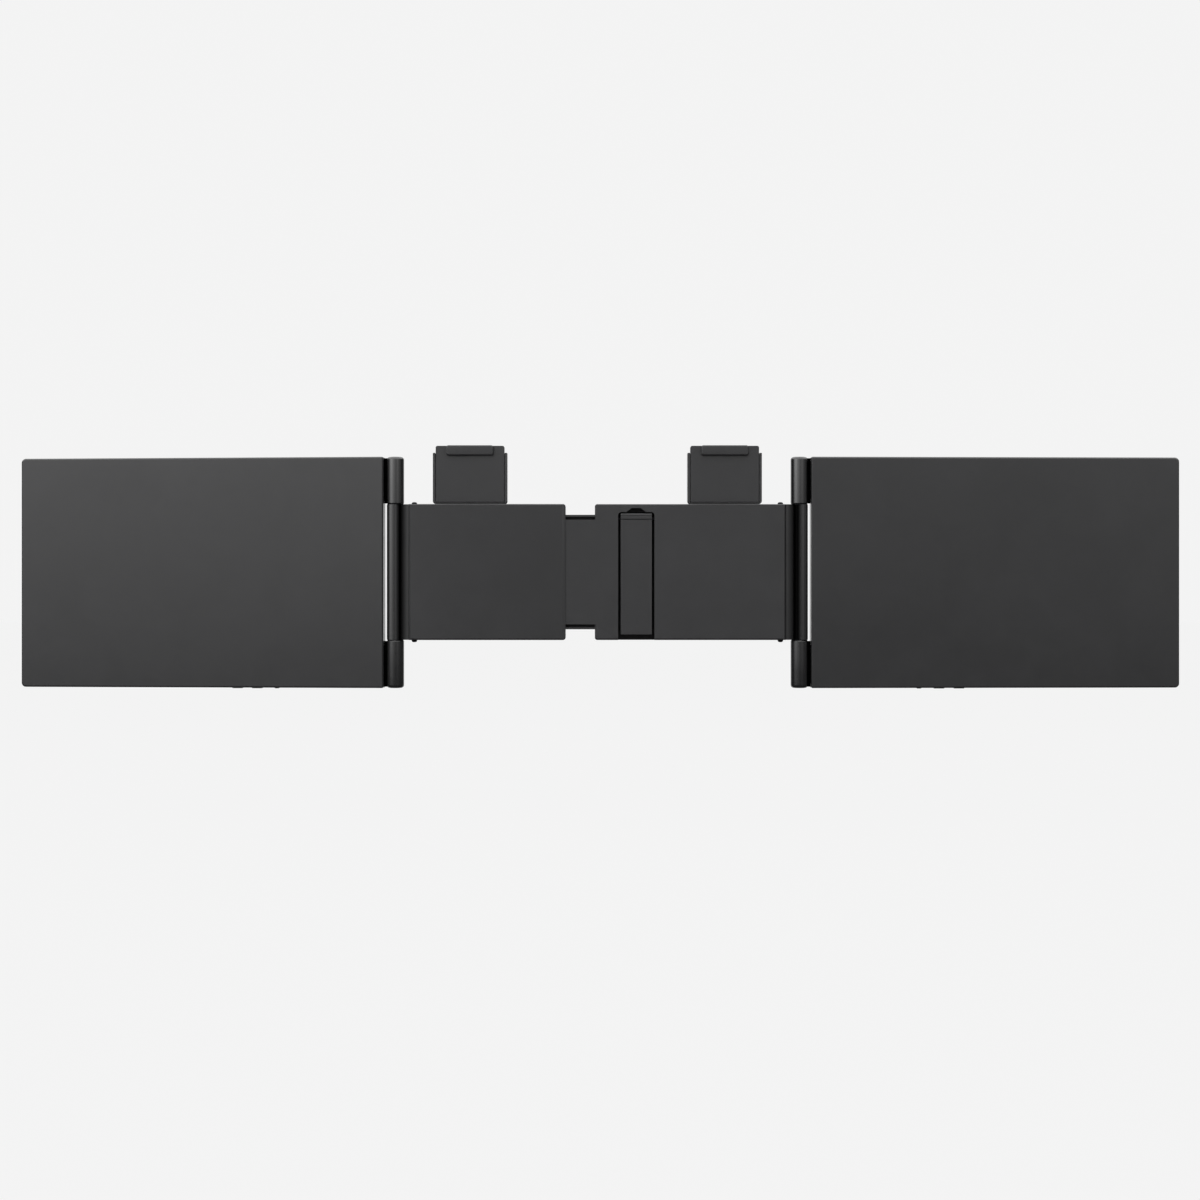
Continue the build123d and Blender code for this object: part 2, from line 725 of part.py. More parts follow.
# ---- clips ---------------------------------------------------------------------------------------
def clip_guide():
    """Channel that holds the slider, with a bottom wall and a footed neck in the arm's top wall."""
    low = (clip_x - guide_half, guide_z0)
    outline = limits(low, (clip_x + guide_half, guide_z1))
    outline = fillet(outline.vertices().group_by(Axis.Y)[0], guide_corner)
    guide = plate(outline, (guide_y0, guide_y1))
    inner = guide_half - guide_wall
    tall = (guide_z0 + guide_foot, guide_z1 + 1)
    guide -= block((clip_x - inner, clip_x + inner), (lip_y, floor_y), tall)
    throat = inner - guide_lip
    guide -= block((clip_x - throat, clip_x + throat), (guide_y0, lip_y), tall)
    guide += rod_y(clip_x, spring_low(), spring_peg_r, (spring_y() - spring_r, floor_y))
    return guide + clip_stem()


def clip_stem():
    """Neck through the arm's top wall and the wider foot behind the front cover."""
    depth = (stem_back, stem_back + stem_t)
    under = arm_half - arm_wall - fit_gap
    neck = block((clip_x - stem_half, clip_x + stem_half), depth, (under, guide_z0 + 0.5))
    wide = stem_half + stem_foot
    foot = block((clip_x - wide, clip_x + wide), depth, (under - stem_foot, under))
    return neck + foot


def spring_y():
    return slider_front - 1.5


def spring_low():
    return slider_z0 + 1.2


def hook_outline():
    """Side view of the slider's head: over the lid's edge and down its face."""
    under = clip_top - hook_t
    points = [(slider_rear, under - 4), (slider_rear, clip_top), (hook_reach, clip_top),
              (hook_reach, clip_top - hook_drop), (hook_reach - hook_lip_t, clip_top - hook_drop),
              (hook_reach - hook_lip_t, under), (slider_front, under), (slider_front, under - 4)]
    outline = Polygon(*points, align=None)
    front = outline.vertices().filter_by_position(Axis.X, hook_reach - 0.01, hook_reach + 0.01)
    return fillet(front, 1.1)


def clip_slider():
    """Slider: a plate with side flanges under the guide's lips, and the hook over the lid."""
    flange_half = guide_half - guide_wall - clip_gap
    flange = block((clip_x - flange_half, clip_x + flange_half), (lip_y + clip_gap, slider_front),
                   (slider_z0, guide_z1 - 0.4))
    outline = limits((clip_x - slider_half, slider_z0), (clip_x + slider_half, clip_top))
    outline = fillet(outline.vertices().group_by(Axis.Y)[-1], clip_corner)
    hook = beam(hook_outline(), (clip_x - hook_half, clip_x + hook_half))
    slider = flange + plate(outline, (slider_rear, slider_front)) + hook
    slot_top = spring_low() + spring_length + 1.0
    slider -= block((clip_x - spring_slot, clip_x + spring_slot), (spring_y() - spring_r - 0.6, slider_front),
                    (slider_z0, slot_top))
    peg = rod_y(clip_x, slot_top - 1.0, spring_peg_r, (spring_y() - spring_r - 0.7, slider_front))
    return slider + peg


def clip_grip():
    """Soft lining of the jaw, under the hook and behind its lip."""
    under = clip_top - hook_t
    back = hook_reach - hook_lip_t
    half = hook_half - grip_t
    points = [(plate_face, under), (back, under), (back, clip_top - hook_drop + 0.2),
              (back - grip_t, clip_top - hook_drop + 0.2), (back - grip_t, under - grip_t),
              (plate_face, under - grip_t)]
    return beam(Polygon(*points, align=None), (clip_x - half, clip_x + half))


def clip_tab():
    """Raised finger pad on the slider's rear face."""
    outline = limits((clip_x - tab_half, clip_top + tab_over - tab_h), (clip_x + tab_half, clip_top + tab_over))
    outline = fillet(outline.vertices(), 1.4)
    tab = plate(outline, (slider_rear - tab_t, slider_rear))
    return fillet(tab.faces().sort_by(Axis.Y)[0].edges(), 0.8)


def clip_spring():
    """Extension spring that pulls the slider down onto the lid's edge."""
    end = spring_peg_r + spring_wire + 0.05
    height = spring_length - 2 * end
    path = Helix(pitch=height / spring_turns, height=height, radius=spring_r)
    section = Plane(origin=path @ 0, z_dir=path % 0) * Circle(spring_wire)
    coil = sweep(section, path=path)
    return Pos(clip_x, spring_y(), spring_low() + end) * coil


# ---- kickstand -----------------------------------------------------------------------------------
def stand_pin():
    reach = recess_half + stand_pin_seat
    return rod_x(stand_y, stand_pivot_z, stand_pin_r, (stand_x - reach, stand_x + reach))


def leg_side():
    """Side view of the leg's solid head: barrel, thumb lip and the top of the channel."""
    nose = limits((leg_rear, stand_pivot_z), (leg_rear + leg_nose_t, stand_pivot_z + leg_nose))
    nose = fillet(nose.vertices().group_by(Axis.Y)[-1], 1.0)
    body = limits((leg_rear, channel_top - 1), (leg_front, stand_pivot_z))
    round_end = Pos(stand_y, stand_pivot_z) * Circle(leg_front - stand_y)
    return nose + body + round_end


def kickstand_leg():
    """Channel-shaped leg with a thumb lip above its pivot."""
    side = (stand_x - leg_half, stand_x + leg_half)
    leg = beam(leg_side(), side)
    seam = (stand_pivot_z - leg_seam / 2, stand_pivot_z + leg_seam / 2)
    leg -= block(side, (leg_rear, leg_rear + leg_seam), seam)
    line = stand_pivot_z + nose_line_rise
    leg -= block(side, (leg_rear, leg_rear + nose_line_depth), (line, line + nose_line))
    leg += block(side, (leg_rear, leg_front), (leg_low, channel_top))
    inner = leg_half - leg_wall
    leg -= block((stand_x - inner, stand_x + inner), (leg_floor, leg_front - leg_lip_t),
                 (leg_low, channel_top))
    throat = inner - leg_lip
    leg -= block((stand_x - throat, stand_x + throat), (leg_floor, leg_front), (leg_low, channel_top))
    foot_top = leg_low - foot_proud + foot_h + 0.5
    leg -= block((stand_x - inner, stand_x + inner), (leg_floor, leg_front), (leg_low, foot_top))
    leg -= rod_y(stand_x + 0.5, leg_low + 5.4, 0.6, (leg_rear, leg_rear + 0.25))
    return leg - rod_x(stand_y, stand_pivot_z, stand_pin_r + running_gap, side)


def kickstand_extension():
    """Flat inner leg with a centre rib, running in the channel."""
    half = leg_half - leg_wall - ext_gap
    low = leg_low - foot_proud + foot_h
    inner = block((stand_x - half, stand_x + half), (ext_y0, ext_y1), (low, channel_top - ext_head))
    rib = block((stand_x - ext_rib_half, stand_x + ext_rib_half), (ext_y1, ext_y1 + ext_rib),
                (low, channel_top - ext_head))
    return inner + rib


def kickstand_foot():
    half = leg_half - leg_wall - ext_gap
    low = leg_low - foot_proud
    foot = block((stand_x - half, stand_x + half), (ext_y0, leg_front - 0.2), (low, low + foot_h))
    return fillet(foot.faces().sort_by(Axis.Z)[0].edges(), 0.5)


def kickstand_leaf():
    """Bent leaf spring on the recess floor, which holds the leg open or shut."""
    peak = leg_front + 0.2
    tip = stand_pivot_z - leaf_under
    foot = recess_y - leaf_t / 2
    line = Polyline((foot, tip - leaf_curl - leaf_ramp - leaf_flat), (foot, tip - leaf_curl - leaf_ramp),
                    (peak + leaf_t / 2, tip - leaf_curl), (peak + 2 * leaf_t, tip))
    strip = trace(line, leaf_t)
    return beam(strip, (stand_x - leaf_half, stand_x + leaf_half))


# ---- export --------------------------------------------------------------------------------------
def turned(solid, angle):
    """The solid turned forward about the screen's hinge axis."""
    return solid.rotate(Axis((axis_x, mid_y, 0), (0, 0, 1)), angle)


def half_set(start):
    """The pieces that both halves of the bracket have, drawn on the +X side."""
    return {
        "lid_pad": lid_pad(start),
        "cover_screws": cover_screws(start),
        "link_pin": link_pin(),
        "hinge_link": hinge_link(),
        "hinge_shaft": hinge_shaft(),
        "friction_washers": friction_washers(),
        "clip_guide": clip_guide(),
        "clip_slider": clip_slider(),
        "clip_grip": clip_grip(),
        "clip_tab": clip_tab(),
        "clip_spring": clip_spring(),
    }


def screen_set(angle):
    """The pieces of one screen, turned to its resting angle."""
    pieces = {
        "rear_cover": rear_cover(),
        "bezel": bezel(),
        "display_panel": display_panel(),
        "driver_board": driver_board(),
        "usb_ports": usb_ports(),
        "hinge_bracket": hinge_bracket(),
        "bracket_screws": bracket_screws(),
        "upper_barrel": barrel(barrel_start, case_top),
        "lower_barrel": barrel(-barrel_start, case_low),
        "power_button": key(0),
        "plus_button": key(1),
        "minus_button": key(2),
    }
    return {name: turned(solid, angle) for name, solid in pieces.items()}


def right_pieces():
    pieces = half_set(right_start) | screen_set(toe_right)
    pieces["rear_shell"] = right_rear_shell()
    pieces["front_cover"] = front_cover(right_start)
    return {"right_" + name: solid for name, solid in pieces.items()}


def left_pieces():
    pieces = half_set(left_start) | screen_set(toe_left)
    pieces["rear_shell"] = left_rear_shell()
    pieces["front_cover"] = front_cover(left_start, stop_slot())
    pieces["slide_liners"] = slide_liners()
    return {"left_" + name: mirror(solid, about=Plane.YZ) for name, solid in pieces.items()}


def single_pieces():
    return {
        "tongue_cover": tongue_cover(),
        "slide_stop_screw": stop_screw(),
        "kickstand_leg": kickstand_leg(),
        "kickstand_extension": kickstand_extension(),
        "kickstand_foot": kickstand_foot(),
        "kickstand_pin": stand_pin(),
        "kickstand_leaf_spring": kickstand_leaf(),
    }


os.makedirs("parts", exist_ok=True)
for node, shape in (right_pieces() | left_pieces() | single_pieces()).items():
    export_step(shape, f"parts/{node}.step")
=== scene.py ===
"""Laptop screen extender: two portable displays on a telescoping bracket, dressed for rendering.

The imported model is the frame. Each visible moulding is shown by a copy of its node with eased edges,
soft parts get their ribs, springs are wound, and every node gets a finish of its own.
Metres; +X along the bracket, +Y to where the displays face, +Z up.
"""

import json
import logging
import math
from dataclasses import dataclass
from enum import Enum
from typing import Any

import bmesh
import bpy
from mathutils import Euler, Matrix, Vector
from mathutils.bvhtree import BVHTree

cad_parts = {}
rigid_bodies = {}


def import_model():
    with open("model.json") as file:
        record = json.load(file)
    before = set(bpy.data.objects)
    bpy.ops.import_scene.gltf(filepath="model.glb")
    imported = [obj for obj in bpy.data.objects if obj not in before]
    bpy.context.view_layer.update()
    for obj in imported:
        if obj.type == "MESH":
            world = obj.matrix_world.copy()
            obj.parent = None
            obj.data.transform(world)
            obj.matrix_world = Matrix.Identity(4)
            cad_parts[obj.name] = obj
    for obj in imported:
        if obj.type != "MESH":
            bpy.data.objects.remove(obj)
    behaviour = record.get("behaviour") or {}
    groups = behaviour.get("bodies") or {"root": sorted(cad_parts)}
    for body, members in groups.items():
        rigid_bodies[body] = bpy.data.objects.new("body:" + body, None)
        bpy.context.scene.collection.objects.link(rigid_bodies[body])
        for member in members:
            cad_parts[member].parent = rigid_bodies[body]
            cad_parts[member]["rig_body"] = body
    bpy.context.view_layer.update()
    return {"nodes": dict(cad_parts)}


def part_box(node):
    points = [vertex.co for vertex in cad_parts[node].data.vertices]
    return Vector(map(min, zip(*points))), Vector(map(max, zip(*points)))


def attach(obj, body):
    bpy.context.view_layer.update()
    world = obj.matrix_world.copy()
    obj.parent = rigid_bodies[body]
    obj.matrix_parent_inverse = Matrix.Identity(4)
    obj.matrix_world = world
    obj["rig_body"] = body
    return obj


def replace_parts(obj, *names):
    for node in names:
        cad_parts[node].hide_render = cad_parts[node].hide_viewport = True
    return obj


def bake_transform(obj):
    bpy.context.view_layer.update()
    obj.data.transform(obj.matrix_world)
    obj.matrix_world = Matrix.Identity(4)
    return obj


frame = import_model()

LOG = logging.getLogger("extender")
MM = 0.001
Pair, Triple = tuple[float, float], tuple[float, float, float]
Colour = Triple
Tree, Socket, Piece, Shape = bpy.types.NodeTree, bpy.types.NodeSocket, bpy.types.Object, bmesh.types.BMesh


# ---- names -----------------------------------------------
class Side(Enum):
    """The two halves of the extender, as seen from behind."""

    LEFT = "left"
    RIGHT = "right"

    @property
    def sign(self) -> int:
        """-1 for the half on -X and 1 for the half on +X."""
        return 1 if self is Side.RIGHT else -1

    def named(self, piece: str) -> str:
        """Name of this half's node or body."""
        return f"{self.value}_{piece}"


class Slot(Enum):
    """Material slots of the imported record."""

    SHELL = "shell_plastic"
    SCREEN = "screen_metal"
    HINGE = "hinge_metal"
    BEZEL = "bezel_plastic"
    GLASS = "display_glass"
    PAD = "soft_pad"
    STEEL = "steel"
    DARK_STEEL = "dark_steel"
    BOARD = "board"
    ACETAL = "acetal"


# ---- node trees ------------------------------------------
def add(tree: Tree, kind: str, inputs: dict[Any, Any] | None = None, out: int | str = 0,
        **settings: Any) -> Socket:
    """Adds one node to a tree, with values or sockets for its inputs and with its other settings.

    Returns:
        The output that "out" names or numbers.
    """
    node = tree.nodes.new(kind)
    for key, value in settings.items():
        setattr(node, key, value)
    for key, value in (inputs or {}).items():
        if isinstance(value, Socket):
            tree.links.new(value, node.inputs[key])
        else:
            node.inputs[key].default_value = value
    return node.outputs[out]


def ranged(tree: Tree, value: Socket, low: float, high: float, to_low: float = 0.0,
           to_high: float = 1.0) -> Socket:
    """Maps a value from one range to another, held at the ends."""
    return add(tree, "ShaderNodeMapRange", {0: value, 1: low, 2: high, 3: to_low, 4: to_high})


def blended(tree: Tree, share: Socket, first: Any, second: Any) -> Socket:
    """Mixes two colours or colour sockets by a share that is 0 for the first and 1 for the second."""
    pair = [c if isinstance(c, Socket) else (*c, 1.0) for c in (first, second)]
    return add(tree, "ShaderNodeMix", {0: share, 6: pair[0], 7: pair[1]}, out=2, data_type="RGBA")


def times(tree: Tree, first: Any, second: Any) -> Socket:
    """Product of two values or sockets."""
    return add(tree, "ShaderNodeMath", {0: first, 1: second}, operation="MULTIPLY")


def noise(tree: Tree, place: Socket, size: Any, detail: float = 2.0, distortion: float = 0.0) -> Socket:
    """Noise whose blotches are about the given size in metres."""
    scale = add(tree, "ShaderNodeMath", {0: 1.0, 1: size}, operation="DIVIDE")
    return add(tree, "ShaderNodeTexNoise", {
        "Vector": place, "Scale": scale, "Detail": detail, "Distortion": distortion})


class Effects:
    """Shader node groups that several finishes share, each built once."""

    SMALL_MARKS = 0.12  # size of the small marks of handling, as a share of the wide ones'
    WIDE_SHARE = 0.75   # how much of the mask the wide ones make

    def __init__(self) -> None:
        """Builds the groups."""
        self.grain = self._grain()
        self.rub = self._rub()
        self.marks = self._marks()
        self.lines = self._lines()
        self.shade = self._shade()

    @staticmethod
    def _group(name: str, inputs: dict[str, float], outputs: list[str]) -> tuple[Tree, Any, Any]:
        """Makes an empty group with float inputs, given with their defaults, and float outputs.

        Returns:
            The tree, its input sockets and its output sockets.
        """
        tree = bpy.data.node_groups.new(name, "ShaderNodeTree")
        for key, value in inputs.items():
            socket = tree.interface.new_socket(key, in_out="INPUT", socket_type="NodeSocketFloat")
            socket.default_value = value
        for key in outputs:
            tree.interface.new_socket(key, in_out="OUTPUT", socket_type="NodeSocketFloat")
        return tree, tree.nodes.new("NodeGroupInput").outputs, tree.nodes.new("NodeGroupOutput").inputs

    def _grain(self) -> Tree:
        """Fine spark grain of a textured surface and its slow change of tone."""
        tree, given, result = self._group("Surface grain", {"Grain Size": 0.0004, "Patch Size": 0.03},
                                          ["Height", "Patches"])
        place = add(tree, "ShaderNodeTexCoord", out="Object")
        fine = noise(tree, place, given["Grain Size"], detail=3.0)
        slow = noise(tree, place, given["Patch Size"], detail=4.0, distortion=0.6)
        tree.links.new(ranged(tree, fine, 0.25, 0.75), result["Height"])
        tree.links.new(ranged(tree, slow, 0.3, 0.7), result["Patches"])
        return tree

    def _rub(self) -> Tree:
        """Lighter edges, partly wear and partly a painted highlight: the eased edges of a piece, broken up so
        that no edge is even.
        """
        tree, given, result = self._group("Edge rub", {"Break Up": 0.004, "Least": 0.35}, ["Mask"])
        edge = add(tree, "ShaderNodeAttribute", out="Fac", attribute_name="edge")
        place = add(tree, "ShaderNodeTexCoord", out="Object")
        broken = noise(tree, place, given["Break Up"], detail=3.0)
        share = add(tree, "ShaderNodeMapRange", {0: broken, 1: 0.35, 2: 0.65, 3: given["Least"], 4: 1.0})
        tree.links.new(times(tree, edge, share), result["Mask"])
        return tree

    def _marks(self) -> Tree:
        """Faint marks of handling that change the gloss."""
        tree, given, result = self._group("Handling marks", {"Size": 0.02}, ["Mask"])
        place = add(tree, "ShaderNodeTexCoord", out="Object")
        wide = noise(tree, place, given["Size"], detail=5.0, distortion=1.5)
        small = noise(tree, place, times(tree, given["Size"], self.SMALL_MARKS))
        small = times(tree, small, 1.0 - self.WIDE_SHARE)
        both = add(tree, "ShaderNodeMath", {0: times(tree, wide, self.WIDE_SHARE), 1: small})
        tree.links.new(ranged(tree, both, 0.38, 0.62), result["Mask"])
        return tree

    def _lines(self) -> Tree:
        """Fine lines round or along turned, ground and drawn metal."""
        tree, given, result = self._group("Tool lines", {"Pitch": 0.0002, "Stretch": 0.04}, ["Height"])
        place = add(tree, "ShaderNodeTexCoord", out="Object")
        thin = add(tree, "ShaderNodeCombineXYZ", {0: given["Stretch"], 1: given["Stretch"], 2: 1.0})
        flat = add(tree, "ShaderNodeVectorMath", {0: place, 1: thin}, operation="MULTIPLY")
        lines = noise(tree, flat, given["Pitch"])
        tree.links.new(ranged(tree, lines, 0.3, 0.7), result["Height"])
        return tree

    def _shade(self) -> Tree:
        """Painted shade in recesses, which darkens and dulls them: the share of a face that its own body
        hides from the light.
        """
        tree, given, result = self._group("Recess shade", {"Low": 0.25, "High": 0.75}, ["Mask"])
        deep = add(tree, "ShaderNodeAttribute", out="Fac", attribute_name="deep")
        share = add(tree, "ShaderNodeMapRange", {0: deep, 1: given["Low"], 2: given["High"]})
        tree.links.new(share, result["Mask"])
        return tree


# ---- finishes --------------------------------------------
def new_material(name: str) -> tuple[bpy.types.Material, Tree, Any]:
    """A material with only its shader and output.

    Returns:
        The material, its tree and the shader's inputs.
    """
    material = bpy.data.materials.new(name)
    material.use_nodes = True
    tree = material.node_tree
    tree.nodes.clear()
    shader = tree.nodes.new("ShaderNodeBsdfPrincipled")
    output = tree.nodes.new("ShaderNodeOutputMaterial")
    tree.links.new(shader.outputs[0], output.inputs[0])
    return material, tree, shader.inputs


def shaded(tone: Colour, share: float) -> Colour:
    """A tone made lighter or darker by a share."""
    return tuple(c * (1.0 + share) for c in tone)


def effect(tree: Tree, group: Tree, **values: float) -> Socket:
    """Places a shared effect in a material, with values for its inputs, and gives its first output."""
    given = {name.replace("_", " ").title(): value for name, value in values.items()}
    return add(tree, "ShaderNodeGroup", given, node_tree=group)


def join(tree: Tree, inputs: Any, **sockets: Socket) -> None:
    """Links sockets to a shader's colour, rough or metal input."""
    names = {"colour": "Base Color", "rough": "Roughness", "metal": "Metallic"}
    for key, socket in sockets.items():
        tree.links.new(socket, inputs[names[key]])


def roughen(tree: Tree, inputs: Any, height: Socket, strength: float, depth: float) -> None:
    """Lets a height in metres of at most the given depth bend a shader's normals."""
    bump = add(tree, "ShaderNodeBump", {"Strength": strength, "Distance": depth, "Height": height})
    tree.links.new(bump, inputs["Normal"])


@dataclass(frozen=True)
class TexturedFinish:
    """Moulded or painted surface with a fine grain, slow change of tone, edges lightened partly as wear and
    partly as a painted highlight, and painted shade in its recesses.

    swing, gloss_swing: how far the tone, as a share, and the roughness change over the surface.
    rub: how much lighter, as a share, an eased edge is, partly as wear and partly as a painted highlight.
    shade_low, shade_high: hidden share of a face where the painted shade of recesses starts and is whole.
    bare: metallic part of the deepest recesses, which takes their reflection away and leaves nothing there
    but the dark painted shade.
    """

    SPECK = (0.7, 1.0, 0.0, 0.25)
    SPECK_SWINGS = 2.5
    # tone and roughness of the painted shade in recesses
    PAINTED_SHADE_TONE = -0.7
    RECESS_ROUGHNESS = 0.95
    GRAIN_STRENGTH = 0.35

    name: str
    tone: Colour
    swing: float = 0.08
    roughness: float = 0.5
    gloss_swing: float = 0.08
    specular: float = 0.5
    grain_size: float = 0.0004
    grain_depth: float = 0.00004
    patch_size: float = 0.03
    rub: float = 0.6
    shade_low: float = 0.25
    shade_high: float = 0.75
    bare: float = 0.0

    def material(self, effects: Effects) -> bpy.types.Material:
        """Builds the finish."""
        material, tree, inputs = new_material(self.name)
        grain = effect(tree, effects.grain, grain_size=self.grain_size, patch_size=self.patch_size).node
        rub, marks = effect(tree, effects.rub), effect(tree, effects.marks)
        patches = grain.outputs["Patches"]
        body = blended(tree, patches, shaded(self.tone, -self.swing), shaded(self.tone, self.swing))
        speck = ranged(tree, grain.outputs["Height"], *self.SPECK)
        body = blended(tree, speck, body, shaded(self.tone, self.SPECK_SWINGS * self.swing))
        # eased edges made lighter: partly wear, partly a painted highlight
        body = blended(tree, rub, body, shaded(self.tone, self.rub))
        shade = effect(tree, effects.shade, low=self.shade_low, high=self.shade_high)
        gloss = ranged(tree, marks, 0.0, 1.0, self.roughness - self.gloss_swing,
                       self.roughness + self.gloss_swing)
        # recesses darkened by painted shade; where bare is set they turn metallic and lose their reflection
        # too
        join(tree, inputs, colour=blended(tree, shade, body, shaded(self.tone, self.PAINTED_SHADE_TONE)),
             rough=add(tree, "ShaderNodeMix", {0: shade, 2: gloss, 3: self.RECESS_ROUGHNESS}),
             metal=times(tree, shade, self.bare))
        roughen(tree, inputs, grain.outputs["Height"], self.GRAIN_STRENGTH, self.grain_depth)
        inputs["Specular IOR Level"].default_value = self.specular
        return material


@dataclass(frozen=True)
class SteelFinish:
    """Bare or blackened steel with tool lines, a little stain and brighter edges."""

    LINE_SHARE = 0.5
    LINE_TONE = -0.15
    EDGE_TONE = 0.3
    STAIN_ROUGHNESS = 0.14

    name: str
    tone: Colour
    roughness: float = 0.32
    pitch: float = 0.00012
    stain: float = 0.25

    def material(self, effects: Effects) -> bpy.types.Material:
        """Builds the finish."""
        material, tree, inputs = new_material(self.name)
        lines = effect(tree, effects.lines, pitch=self.pitch)
        marks = effect(tree, effects.marks, size=0.006)
        rub = effect(tree, effects.rub, break_up=0.002)
        body = blended(tree, marks, shaded(self.tone, -self.stain), self.tone)
        body = blended(tree, times(tree, lines, self.LINE_SHARE), body, shaded(self.tone, self.LINE_TONE))
        join(tree, inputs, colour=blended(tree, rub, body, shaded(self.tone, self.EDGE_TONE)),
             rough=ranged(tree, marks, 0.0, 1.0, self.roughness + self.STAIN_ROUGHNESS, self.roughness))
        roughen(tree, inputs, lines, strength=0.3, depth=0.00001)
        inputs["Metallic"].default_value = 1.0
        return material


@dataclass(frozen=True)
class GlassFinish:
    """Dark display with an anti-glare front: near black, with a faint sparkle and wiping marks."""

    name: str
    tone: Colour
    patch_tone: float = 0.5
    roughness: float = 0.16
    wiped: float = 0.03
    smeared: float = 0.05

    def material(self, effects: Effects) -> bpy.types.Material:
        """Builds the finish."""
        material, tree, inputs = new_material(self.name)
        grain = effect(tree, effects.grain, grain_size=0.00018, patch_size=0.09).node
        marks = effect(tree, effects.marks, size=0.045)
        patches = grain.outputs["Patches"]
        join(tree, inputs, colour=blended(tree, patches, self.tone, shaded(self.tone, self.patch_tone)),
             rough=ranged(tree, marks, 0.0, 1.0, self.roughness - self.wiped, self.roughness + self.smeared))
        roughen(tree, inputs, grain.outputs["Height"], strength=0.12, depth=0.000004)
        inputs["IOR"].default_value = 1.5
        return material


@dataclass(frozen=True)
class BoardFinish:
    """Circuit board: solder mask over copper runs, with bare contacts here and there."""

    name: str
    mask: Colour = (0.006, 0.05, 0.03)
    run: Colour = (0.02, 0.11, 0.06)
    contact: Colour = (0.75, 0.58, 0.3)
    run_scale: float = 420.0
    contact_scale: float = 160.0
    roughness: Pair = (0.3, 0.42)

    def material(self, effects: Effects) -> bpy.types.Material:
        """Builds the finish."""
        material, tree, inputs = new_material(self.name)
        place = add(tree, "ShaderNodeTexCoord", out="Object")
        marks = effect(tree, effects.marks)
        runs = add(tree, "ShaderNodeTexVoronoi", {"Vector": place, "Scale": self.run_scale},
                   distance="MANHATTAN")
        pads = add(tree, "ShaderNodeTexVoronoi", {"Vector": place, "Scale": self.contact_scale},
                   distance="CHEBYCHEV")
        track = ranged(tree, runs, 0.45, 0.5)
        bare = ranged(tree, pads, 0.16, 0.13)
        body = blended(tree, track, self.mask, self.run)
        join(tree, inputs, colour=blended(tree, bare, body, self.contact), metal=bare,
             rough=ranged(tree, marks, 0.0, 1.0, *self.roughness))
        roughen(tree, inputs, track, strength=0.4, depth=0.00003)
        return material


class Palette:
    """The extender's finishes, one material for each slot."""

    FINISHES = {
        Slot.SCREEN: TexturedFinish(
            "Cover paint", (0.022, 0.022, 0.023), roughness=0.2, gloss_swing=0.03, grain_size=0.00035,
            grain_depth=0.00003, patch_size=0.05, rub=0.7),
        # The bracket's edges are lightened most, partly as wear and partly as painted highlight lines.
        Slot.SHELL: TexturedFinish(
            "Bracket moulding", (0.019, 0.019, 0.02), roughness=0.42, gloss_swing=0.045,
            grain_size=0.00045, grain_depth=0.00005, rub=1.6),
        # The hinge takes the strongest painted shade: its deepest recesses turn black, with no reflection.
        Slot.HINGE: TexturedFinish(
            "Hinge casting", (0.009, 0.009, 0.0095), roughness=0.2, gloss_swing=0.04, specular=0.7,
            grain_size=0.0003, grain_depth=0.00002, patch_size=0.02, rub=0.9, shade_low=0.04,
            shade_high=0.36, bare=1.0),
        Slot.BEZEL: TexturedFinish(
            "Front frame moulding", (0.02, 0.02, 0.021), specular=0.35, patch_size=0.04, rub=0.5),
        Slot.GLASS: GlassFinish("Display front", (0.0035, 0.004, 0.0055)),
        Slot.PAD: TexturedFinish(
            "Silicone rubber", (0.02, 0.02, 0.021), swing=0.14, roughness=0.78, gloss_swing=0.06,
            specular=0.3, grain_size=0.0006, grain_depth=0.00005, patch_size=0.012, rub=0.3),
        Slot.STEEL: SteelFinish("Ground steel", (0.56, 0.56, 0.57)),
        Slot.DARK_STEEL: SteelFinish("Blackened steel", (0.012, 0.012, 0.013), roughness=0.4),
        Slot.BOARD: BoardFinish("Circuit board"),
        Slot.ACETAL: TexturedFinish(
            "Black acetal", (0.018, 0.018, 0.019), roughness=0.3, grain_size=0.0008,
            grain_depth=0.00002, patch_size=0.008, rub=0.4),
    }

    def __init__(self) -> None:
        """Builds the shared effects; materials follow as they are asked for."""
        self.effects = Effects()
        self._made: dict[Slot, bpy.types.Material] = {}

    def __getitem__(self, slot: Slot) -> bpy.types.Material:
        """The slot's material."""
        if slot not in self._made:
            self._made[slot] = self.FINISHES[slot].material(self.effects)
        return self._made[slot]

    def paint(self, piece: Piece, slot: Slot) -> None:
        """Gives every face of a piece the slot's material."""
        if not piece.data.materials:
            piece.data.materials.append(self[slot])
        for held in piece.material_slots:
            held.material = self[slot]


# ---- mesh tools ------------------------------------------
CREASE = math.radians(50)  # edges with a greater angle keep a hard change of shading
FLAT = math.radians(0.4)   # faces with a lesser angle between them are made one
WELD, SLIVER = 2e-6, 1e-6  # nearer vertices are joined; shorter edges are dropped
REARWARD = -0.9            # greatest Y of the normal of a face that looks to the rear
PARALLEL = 0.9999          # least product of the normals of parallel faces
LEVEL = 0.01 * MM          # greatest step between faces in one plane
RIM_ANGLES = 0.5, 1.2      # in radians, of the edges round a rear face
VOLUMES = 0.9, 1.001       # share of a solid's volume that easing may leave


def new_piece(name: str, mesh: bpy.types.Mesh) -> Piece:
    """Puts a mesh into the scene as an object at the origin."""
    piece = bpy.data.objects.new(name, mesh)
    bpy.context.scene.collection.objects.link(piece)
    return piece


def as_piece(name: str, shape: Shape) -> Piece:
    """Ends the work on a shape and puts it into the scene."""
    mesh = bpy.data.meshes.new(name)
    shape.to_mesh(mesh)
    shape.free()
    return new_piece(name, mesh)


